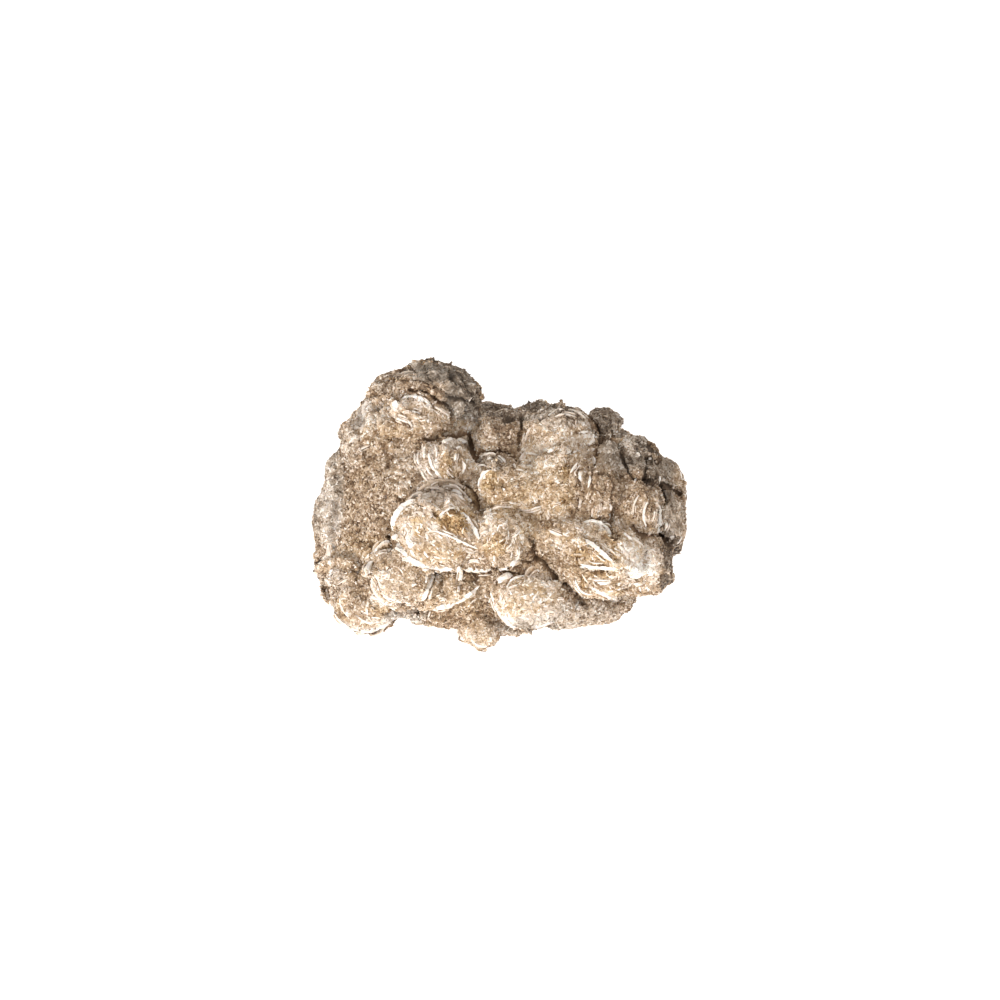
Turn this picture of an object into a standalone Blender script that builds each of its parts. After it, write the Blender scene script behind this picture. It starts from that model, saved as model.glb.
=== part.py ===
"""Gypsum sand rose: one lump of sand-filled gypsum, grown as a single piece.

Broad rounded lobes of sandy gypsum carry rosettes. Each rosette is a domed heart crossed by
lens-shaped blades, which are sections of the heart that stand proud of it. Everything is joined
into one solid, with a flat where it rests.

Axes: +X across the specimen, +Y towards its back, +Z up. The origin lies on the resting face.
Lengths below are in millimetres and angles in degrees, unless a name says otherwise.
"""

import math

import bmesh
import bpy
from mathutils import Matrix, Vector, noise
from mathutils.bvhtree import BVHTree

MM = 0.001

# The show face looks towards -Y and this far above the horizon. Front rosettes are laid out on
# the plane that faces that way and passes through SHOW_HEIGHT above the resting face.
SHOW_ELEVATION = 65.0
SHOW_HEIGHT = 18.0
REACH = 200.0

# Broad lobes of the body: centre (x, y, z), radii (x, y, z) and how finely each is faceted.
LOBES = {
    "right": ((17.0, -3.0, 15.0), (26.0, 23.0, 18.0), 3),
    "left": ((-18.8, 1.0, 15.5), (22.0, 26.5, 18.5), 3),
    "middle": ((0.0, -4.0, 16.0), (30.0, 24.5, 18.5), 3),
    "foot": ((-29.0, -15.0, 12.0), (11.5, 12.0, 12.5), 2),
    "crest": ((-17.0, 19.0, 19.0), (13.5, 11.0, 14.0), 2),
    "end": ((33.0, 2.0, 13.5), (12.0, 16.0, 12.5), 2),
}
LOBE_LUMP_SIZE = 8.0
LOBE_LUMP_HEIGHT = 2.2

# Rosettes of the show face: across and up on the show plane, how far the heart's middle stands
# out of the lobes, and the heart's radii across, up and out. Then its blades, as (turn, lean,
# shift) for each: turn is the way the blade's edge runs across the face, lean tips it from
# edge-on (0) to face-on (90), and shift moves it off the heart's middle, as a share of the
# heart's reach that way.
FRONT_ROSETTES = {
    "great": (
        (-14.3, -6.3, 2.6, (10.4, 9.2, 6.0)),
        ((-60, 14, 0.72), (-13, 12, -0.25), (-20, 20, 0.78), (20, 74, 0.05)),
    ),
    "great_wing": ((0.5, -7.5, 0.8, (6.6, 7.2, 5.0)), ((8, 62, 0.0), (84, 14, 0.15))),
    "comb": (
        (-12.5, 10.0, 0.5, (6.2, 5.8, 4.5)),
        ((97, 10, 0.66), (92, 12, 0.1), (20, 40, 0.6)),
    ),
    "crown": ((-19.0, 20.5, 1.0, (9.0, 5.8, 5.0)), ((-8, 60, 0.15), (-28, 15, 0.25))),
    "crown_wing": ((-29.0, 20.0, 0.5, (5.4, 6.0, 5.0)), ((60, 24, 0.0),)),
    "knob": (
        (-14.6, 26.8, 0.0, (11.0, 6.0, 8.0)),
        ((168, 48, -0.6), (156, 52, -0.2), (176, 46, 0.25), (160, 52, 0.62)),
    ),
    "knob_wing": ((-24.5, 26.5, 0.0, (6.5, 5.6, 6.0)), ((205, 45, -0.2), (222, 50, 0.4))),
    "ball": (
        (-23.3, -17.6, 1.5, (7.7, 7.0, 6.2)),
        ((8, 20, 0.62), (-76, 12, 0.7), (40, 32, -0.1)),
    ),
    "foot": ((-30.6, -22.6, 0.5, (8.4, 6.8, 7.0)), ((-40, 64, 0.0), (-30, 14, 0.2))),
    "skirt": ((-11.5, -21.0, -0.5, (9.0, 5.2, 6.0)), ((22, 34, -0.35), (16, 15, 0.35))),
    "spur": ((-4.0, -28.6, 0.0, (5.6, 5.2, 5.5)), ((32, 15, 0.0), (112, 22, 0.25))),
    "bud": (
        (8.2, -21.9, 1.0, (9.2, 6.8, 6.0)),
        ((4, 66, 0.0), (-62, 14, -0.5), (34, 16, 0.15)),
    ),
    "fan": (
        (23.5, -13.0, 1.0, (9.0, 9.0, 5.5)),
        ((-36, 10, 0.25), (-6, 12, -0.15), (-20, 16, -0.72)),
    ),
    "fan_wing": ((15.5, -7.0, 0.5, (6.4, 4.0, 3.6)), ((-10, 58, 0.1),)),
    "cheek": ((34.3, -14.3, 0.0, (6.7, 7.4, 6.5)), ((152, 20, 0.0), (62, 26, 0.35))),
    "brow": (
        (14.5, 15.5, 1.0, (9.4, 8.4, 6.0)),
        ((75, 20, 0.25), (8, 32, -0.2), (142, 24, 0.35)),
    ),
    "saddle": ((2.0, 15.5, -1.0, (6.0, 5.0, 5.0)), ((0, 20, 0.1),)),
    "heart": (
        (3.0, 4.0, -0.5, (9.0, 6.0, 5.0)),
        ((63, 15, 0.78), (-15, 20, -0.35), (10, 26, 0.4)),
    ),
    "pillar": ((25.5, 12.0, 0.5, (3.8, 4.2, 4.0)), ((80, 12, 0.1),)),
    "post": ((24.0, 2.0, 0.0, (4.4, 6.4, 4.0)), ((88, 8, -0.4), (86, 10, 0.4))),
    "drum": ((33.5, -1.5, 0.5, (6.2, 6.6, 5.0)), ((92, 12, -0.75), (100, 20, 0.1))),
    "rim_low": ((40.3, -4.0, 0.0, (3.8, 7.0, 5.5)), ((84, 16, 0.0),)),
    "rim_high": ((39.8, 5.3, 0.0, (4.2, 6.0, 5.0)), ((122, 46, 0.0),)),
    "ridge": ((32.5, 11.7, 0.5, (6.0, 4.8, 5.0)), ((150, 22, 0.0),)),
    "horn": ((25.0, 19.5, 0.0, (4.4, 4.2, 5.0)), ((10, 40, 0.0),)),
    "nape": ((9.0, 19.0, 0.0, (8.0, 3.6, 5.0)), ((180, 40, 0.1),)),
    "nape_step": ((-1.5, 21.5, 0.0, (5.0, 3.4, 4.5)), ((200, 24, 0.0),)),
    "flank": ((-40.1, -4.0, 0.0, (4.0, 8.0, 7.0)), ((84, 16, 0.3), (100, 20, -0.4))),
    "flank_knot": ((-37.5, 8.4, 0.0, (3.6, 4.6, 5.0)), ((45, 20, 0.0),)),
    "shoulder": ((-33.0, 14.1, 0.0, (4.4, 5.6, 6.0)), ((110, 16, 0.3),)),
    "sole": ((19.6, -24.0, 0.0, (9.6, 4.2, 6.0)), ((10, 24, 0.0),)),
    "hem": ((-15.0, -25.0, -0.5, (8.5, 4.0, 5.0)), ((-8, 26, 0.1),)),
    "shelf": ((33.0, 6.0, 0.5, (6.4, 4.2, 4.6)), ((6, 28, 0.1),)),
    "brow_low": ((14.5, 6.5, 0.5, (7.5, 7.0, 5.0)), ((70, 18, 0.3),)),
}

# Rosettes of the back, the sides and the underside: the compass angle (0 is +X, 90 the back) and
# height at which they stand on the lobes, how far they stand out, and radii. Then their blades.
DISH = ((6, 66, 0.05), (28, 14, 0.3))
BURR = ((-30, 12, 0.1), (54, 20, -0.3))
FAN = ((-34, 10, -0.35), (4, 14, 0.3))
SIDE_ROSETTES = {
    "back_1": ((62, 20, 0.5, (8.5, 7.0, 5.5)), DISH),
    "back_2": ((92, 12, 0.5, (8.5, 7.5, 5.5)), BURR),
    "back_3": ((118, 17, -0.5, (9.0, 7.0, 5.5)), FAN),
    "back_4": ((78, 27, 0.0, (7.0, 6.0, 5.0)), FAN),
    "back_5": ((145, 12, 0.5, (8.5, 7.0, 5.5)), DISH),
    "right_1": ((30, 11, 0.0, (7.5, 6.5, 5.5)), DISH),
    "right_2": ((-6, 8, -2.8, (7.0, 6.5, 5.0)), BURR),
    "right_3": ((-38, 7, -0.8, (7.0, 5.5, 4.5)), FAN),
    "left_1": ((176, 8, -1.0, (7.0, 6.5, 5.5)), FAN),
    "left_2": ((203, 7, -2.4, (7.0, 6.0, 5.0)), DISH),
    "front_1": ((246, 6, -0.8, (7.5, 5.5, 4.5)), BURR),
    "front_2": ((276, 6, -1.4, (8.5, 5.5, 4.5)), DISH),
    "front_3": ((306, 6, -0.8, (7.5, 5.5, 4.5)), BURR),
}
HEART_SEGMENTS = 8
HEART_RINGS = 4
HEART_FULLNESS = 1.05
BLADE_PROUD = 1.9
BLADE_THICKNESS = 0.34
BLADE_SIDES = 10
BLADE_RAGGED = 0.12
SMALLEST_SECTION = 0.6

# Share of the union's triangles that stays once its slivers are merged.
TRIANGLES_KEPT = 0.8

GYPSUM_TAN = (0.66, 0.50, 0.34, 1.0)
GYPSUM_ROUGHNESS = 0.85


def clear_scene():
    for obj in list(bpy.data.objects):
        bpy.data.objects.remove(obj, do_unlink=True)


def mesh_object(name, bm):
    """A new object holding the bmesh, which is freed. Lengths turn from millimetres to metres."""
    mesh = bpy.data.meshes.new(name)
    bmesh.ops.scale(bm, vec=Vector((MM, MM, MM)), verts=bm.verts)
    bm.to_mesh(mesh)
    bm.free()
    obj = bpy.data.objects.new(name, mesh)
    bpy.context.scene.collection.objects.link(obj)
    return obj


def make_lobes():
    """The body's lobes, roughened by low lumps."""
    lobes = []
    for centre, radii, detail in LOBES.values():
        bm = bmesh.new()
        bmesh.ops.create_icosphere(bm, subdivisions=detail, radius=1.0)
        place = Matrix.Translation(centre) @ Matrix.Diagonal((*radii, 1.0))
        bmesh.ops.transform(bm, matrix=place, verts=bm.verts)
        bm.normal_update()
        for vertex in bm.verts:
            lump = noise.noise(vertex.co / LOBE_LUMP_SIZE)
            vertex.co += vertex.normal * lump * LOBE_LUMP_HEIGHT
        lobes.append(bm)
    return lobes


def tree_of(bmeshes):
    """One ray-casting tree over several bmeshes."""
    points, faces = [], []
    for bm in bmeshes:
        first = len(points)
        points += [vertex.co.copy() for vertex in bm.verts]
        faces += [[first + vertex.index for vertex in face.verts] for face in bm.faces]
    return BVHTree.FromPolygons(points, faces)


def show_frame():
    """The show face's directions as columns: across, up and out."""
    tip = math.radians(90.0 - SHOW_ELEVATION)
    return Matrix.Rotation(tip, 3, "X")


def surface_point(tree, start, direction):
    """Where the line meets the lobes, or its nearest point to them where it passes by."""
    hit, _, _, _ = tree.ray_cast(start, direction)
    if hit is not None:
        return hit
    closest = min(
        (start + direction * step for step in range(0, int(2 * REACH), 2)),
        key=lambda point: tree.find_nearest(point)[3],
    )
    return closest


def front_site(tree, across, up, rise):
    """(place, frame) of a rosette laid out on the show face."""
    frame = show_frame()
    out = frame.col[2].copy()
    on_plane = frame @ Vector((across, up, 0.0)) + Vector((0.0, 0.0, SHOW_HEIGHT))
    place = surface_point(tree, on_plane + out * REACH, -out)
    return place + out * rise, frame


def side_site(tree, compass, height, rise):
    """(place, frame) of a rosette that faces away from the body's middle at a compass angle."""
    angle = math.radians(compass)
    outward = Vector((math.cos(angle), math.sin(angle), 0.0))
    start = outward * REACH + Vector((0.0, 0.0, height))
    place = surface_point(tree, start, -outward)
    normal = tree.find_nearest(place)[1]
    across = Vector((0.0, 0.0, 1.0)).cross(normal).normalized()
    frame = Matrix((across, normal.cross(across), normal)).transposed()
    return place + normal * rise, frame


def reach_along(radii, direction):
    """Distance from an ellipsoid's middle to its surface."""
    return 1.0 / math.sqrt(sum((d / r) ** 2 for d, r in zip(direction, radii)))


def support(radii, normal):
    """Distance from an ellipsoid's middle to the plane that touches it squarely to normal."""
    return math.sqrt(sum((n * r) ** 2 for n, r in zip(normal, radii)))


def blade(place, frame, radii, turn, lean, shift):
    """A lens-shaped blade: the heart's section at (turn, lean, shift), grown to stand proud."""
    turn, lean = math.radians(turn), math.radians(lean)
    along = Vector((math.cos(turn), math.sin(turn), 0.0))
    side = Vector((-math.sin(turn), math.cos(turn), 0.0))
    normal = side * math.cos(lean) + Vector((0.0, 0.0, 1.0)) * math.sin(lean)
    across = normal.cross(along)
    section = max(SMALLEST_SECTION, math.sqrt(1.0 - shift**2))
    half_length = reach_along(radii, along) * section + BLADE_PROUD
    half_depth = reach_along(radii, across) * section + BLADE_PROUD
    centre = normal * support(radii, normal) * shift
    half_thickness = BLADE_THICKNESS * min(half_length, half_depth) / 2.0
    bm = bmesh.new()
    rim = []
    for step in range(BLADE_SIDES):
        angle = 2.0 * math.pi * step / BLADE_SIDES
        reach = along * half_length * math.cos(angle) + across * half_depth * math.sin(angle)
        ragged = 1.0 + BLADE_RAGGED * noise.noise(frame @ (centre + reach) + place)
        rim.append(bm.verts.new(centre + reach * ragged))
    for tip in (half_thickness, -half_thickness):
        peak = bm.verts.new(centre + normal * tip)
        for first, second in zip(rim, rim[1:] + rim[:1]):
            bm.faces.new((first, second, peak) if tip > 0.0 else (second, first, peak))
    bmesh.ops.transform(bm, matrix=Matrix.Translation(place) @ frame.to_4x4(), verts=bm.verts)
    return bm


def heart(place, frame, radii):
    """The rosette's domed middle, cut in flat facets."""
    bm = bmesh.new()
    bmesh.ops.create_uvsphere(
        bm, u_segments=HEART_SEGMENTS, v_segments=HEART_RINGS, radius=HEART_FULLNESS
    )
    spin = Matrix.Rotation(place.x + place.y, 4, "Z")
    grow = Matrix.Diagonal((*radii, 1.0))
    bmesh.ops.transform(
        bm, matrix=Matrix.Translation(place) @ frame.to_4x4() @ grow @ spin, verts=bm.verts
    )
    return bm


def rosette(name, place, frame, radii, blades):
    """The heart and blades of one rosette, as objects."""
    parts = [mesh_object(f"{name}_heart", heart(place, frame, radii))]
    for index, (turn, lean, shift) in enumerate(blades):
        shape = blade(place, frame, radii, turn, lean, shift)
        parts.append(mesh_object(f"{name}_blade_{index}", shape))
    return parts


def make_rosettes(tree):
    parts = []
    for name, ((across, up, rise, radii), blades) in FRONT_ROSETTES.items():
        place, frame = front_site(tree, across, up, rise)
        parts += rosette(name, place, frame, radii, blades)
    for name, ((compass, height, rise, radii), blades) in SIDE_ROSETTES.items():
        place, frame = side_site(tree, compass, height, rise)
        parts += rosette(name, place, frame, radii, blades)
    return parts


def merge_into(body, others):
    """Joins the other objects to the body with a Boolean union."""
    helpers = bpy.data.collections.new("grown_together")
    bpy.context.scene.collection.children.link(helpers)
    for obj in others:
        bpy.context.scene.collection.objects.unlink(obj)
        helpers.objects.link(obj)
    union = body.modifiers.new("grow_together", "BOOLEAN")
    union.operation = "UNION"
    union.solver = "EXACT"
    union.operand_type = "COLLECTION"
    union.collection = helpers


def thin_out(body):
    """Merges the slivers that the crossing blades left."""
    fewer = body.modifiers.new("merge_slivers", "DECIMATE")
    fewer.ratio = TRIANGLES_KEPT


def cut_flat(body):
    """Cuts the resting flat, and returns the cutter."""
    below = bmesh.new()
    bmesh.ops.create_cube(below, size=REACH)
    bmesh.ops.translate(below, verts=below.verts, vec=(0.0, 0.0, -REACH / 2.0))
    cutter = mesh_object("resting_cut", below)
    cut = body.modifiers.new("resting_flat", "BOOLEAN")
    cut.operation = "DIFFERENCE"
    cut.solver = "EXACT"
    cut.use_self = True
    cut.object = cutter
    return cutter


def shells_of(bm):
    """The mesh's faces, as lists of faces that hang together by their edges."""
    unseen = set(bm.faces)
    shells = []
    while unseen:
        shell, to_visit = [], [unseen.pop()]
        while to_visit:
            face = to_visit.pop()
            shell.append(face)
            for edge in face.edges:
                for other in edge.link_faces:
                    if other in unseen:
                        unseen.remove(other)
                        to_visit.append(other)
        shells.append(shell)
    return sorted(shells, key=len)


def outer_skin(body):
    """The evaluated body as one mesh, without the walls of any pocket closed off inside."""
    bpy.context.view_layer.update()
    graph = bpy.context.evaluated_depsgraph_get()
    mesh = bpy.data.meshes.new_from_object(body.evaluated_get(graph))
    bm = bmesh.new()
    bm.from_mesh(mesh)
    for pocket in shells_of(bm)[:-1]:
        bmesh.ops.delete(bm, geom=pocket, context="FACES")
    bmesh.ops.triangulate(bm, faces=bm.faces)
    bm.to_mesh(mesh)
    bm.free()
    return mesh


def gypsum():
    material = bpy.data.materials.new("gypsum")
    material.use_nodes = True
    shader = material.node_tree.nodes["Principled BSDF"]
    shader.inputs["Base Color"].default_value = GYPSUM_TAN
    shader.inputs["Roughness"].default_value = GYPSUM_ROUGHNESS
    shader.inputs["Metallic"].default_value = 0.0
    return material


def main():
    clear_scene()
    lobes = make_lobes()
    tree = tree_of(lobes)
    parts = [mesh_object(f"lobe_{index}", bm) for index, bm in enumerate(lobes)]
    parts += make_rosettes(tree)
    body, *others = parts
    merge_into(body, others)
    thin_out(body)
    cutter = cut_flat(body)
    mesh = outer_skin(body)
    for obj in [*parts, cutter]:
        bpy.data.objects.remove(obj, do_unlink=True)
    mesh.materials.clear()
    mesh.materials.append(gypsum())
    rose = bpy.data.objects.new("sand_rose", mesh)
    bpy.context.scene.collection.objects.link(rose)


main()
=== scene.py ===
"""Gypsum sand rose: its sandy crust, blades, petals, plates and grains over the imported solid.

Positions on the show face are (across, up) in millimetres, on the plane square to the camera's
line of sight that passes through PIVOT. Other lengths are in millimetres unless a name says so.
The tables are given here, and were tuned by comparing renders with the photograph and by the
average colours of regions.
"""

import math

import bpy
import numpy as np
from mathutils import Matrix, Vector
from mathutils.bvhtree import BVHTree

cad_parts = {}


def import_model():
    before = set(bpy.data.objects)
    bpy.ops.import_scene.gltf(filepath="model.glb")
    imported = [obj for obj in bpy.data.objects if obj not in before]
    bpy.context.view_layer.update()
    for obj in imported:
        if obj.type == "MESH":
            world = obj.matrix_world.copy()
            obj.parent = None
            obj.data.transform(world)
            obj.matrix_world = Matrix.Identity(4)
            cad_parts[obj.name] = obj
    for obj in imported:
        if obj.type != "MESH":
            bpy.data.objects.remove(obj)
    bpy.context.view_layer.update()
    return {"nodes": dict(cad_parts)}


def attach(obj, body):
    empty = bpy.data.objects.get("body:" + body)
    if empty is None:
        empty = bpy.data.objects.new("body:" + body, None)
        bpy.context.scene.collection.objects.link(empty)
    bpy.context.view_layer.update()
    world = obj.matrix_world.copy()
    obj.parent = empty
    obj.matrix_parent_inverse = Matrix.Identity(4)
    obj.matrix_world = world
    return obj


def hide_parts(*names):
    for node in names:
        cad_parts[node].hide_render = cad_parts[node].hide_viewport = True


MM = 0.001
SEED = 11

# The camera stands DISTANCE from PIVOT along OUT, ELEVATION above the horizon, and its view is
# centred AIM (across, up) off PIVOT.
ELEVATION = math.radians(65.0)
PIVOT = np.array((0.0, 0.0, 18.0))
ACROSS = np.array((1.0, 0.0, 0.0))
UP = np.array((0.0, math.sin(ELEVATION), math.cos(ELEVATION)))
OUT = np.array((0.0, -math.cos(ELEVATION), math.sin(ELEVATION)))
DISTANCE = 562.0
AIM = (0.5, 1.2)
EYE = PIVOT + OUT * DISTANCE + ACROSS * AIM[0] + UP * AIM[1]
LENS, SENSOR_WIDTH = 85.0, 36.0

# The crust: the cell it is remeshed at, how often and how far each vertex then moves towards its
# neighbours, and the x where its two pieces meet.
CRUST_CELL = 0.46
CRUST_SMOOTHING = 14
CRUST_PULL = 0.6
CRUST_SEAM = 0.0
# A vertex this far behind what the camera sees there counts as hidden.
HIDDEN_BEHIND = 1.2
HIDDEN_SMOOTHING = 5
# The most that patches (some of them painted shade) may darken, the narrowest line of EDGES
# that steps the crust, and how much painted shade darkens a full crevice.
DARKEST = -0.32
LEAST_STEPPED = 0.46
CREVICE_PAINTED_SHADE = 0.78

# How many places are drawn for each kind of small crystal, before any are left out, and the least
# height above the floor that each kind may stand at. SIDE_PETALS are for each rosette of the
# hidden sides.
LOOSE_BLADES, LOOSE_BLADE_HEIGHT = 2200, 1.0
SHARDS, WEDGES, PLATE_HEIGHT = 52000, 40000, 0.7
CHIPS, CHIP_HEIGHT = 28000, 0.4
SIDE_PETALS, PETAL_HEIGHT = 60, 2.0
# Parts of a layered blade further than this off the crust are laid on it.
AFLOAT = 0.6
# How far a main blade is raised off its line, and its width and height as shares of what EDGES
# says.
BLADE_LIFT, BLADE_WIDTH, BLADE_HEIGHT = 0.22, 1.2, 0.7
# A distance from the middle that is outside the solid on every side.
OUTSIDE = 70.0
# The noise repeats after this many cells.
NOISE_CELLS = 32

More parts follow.
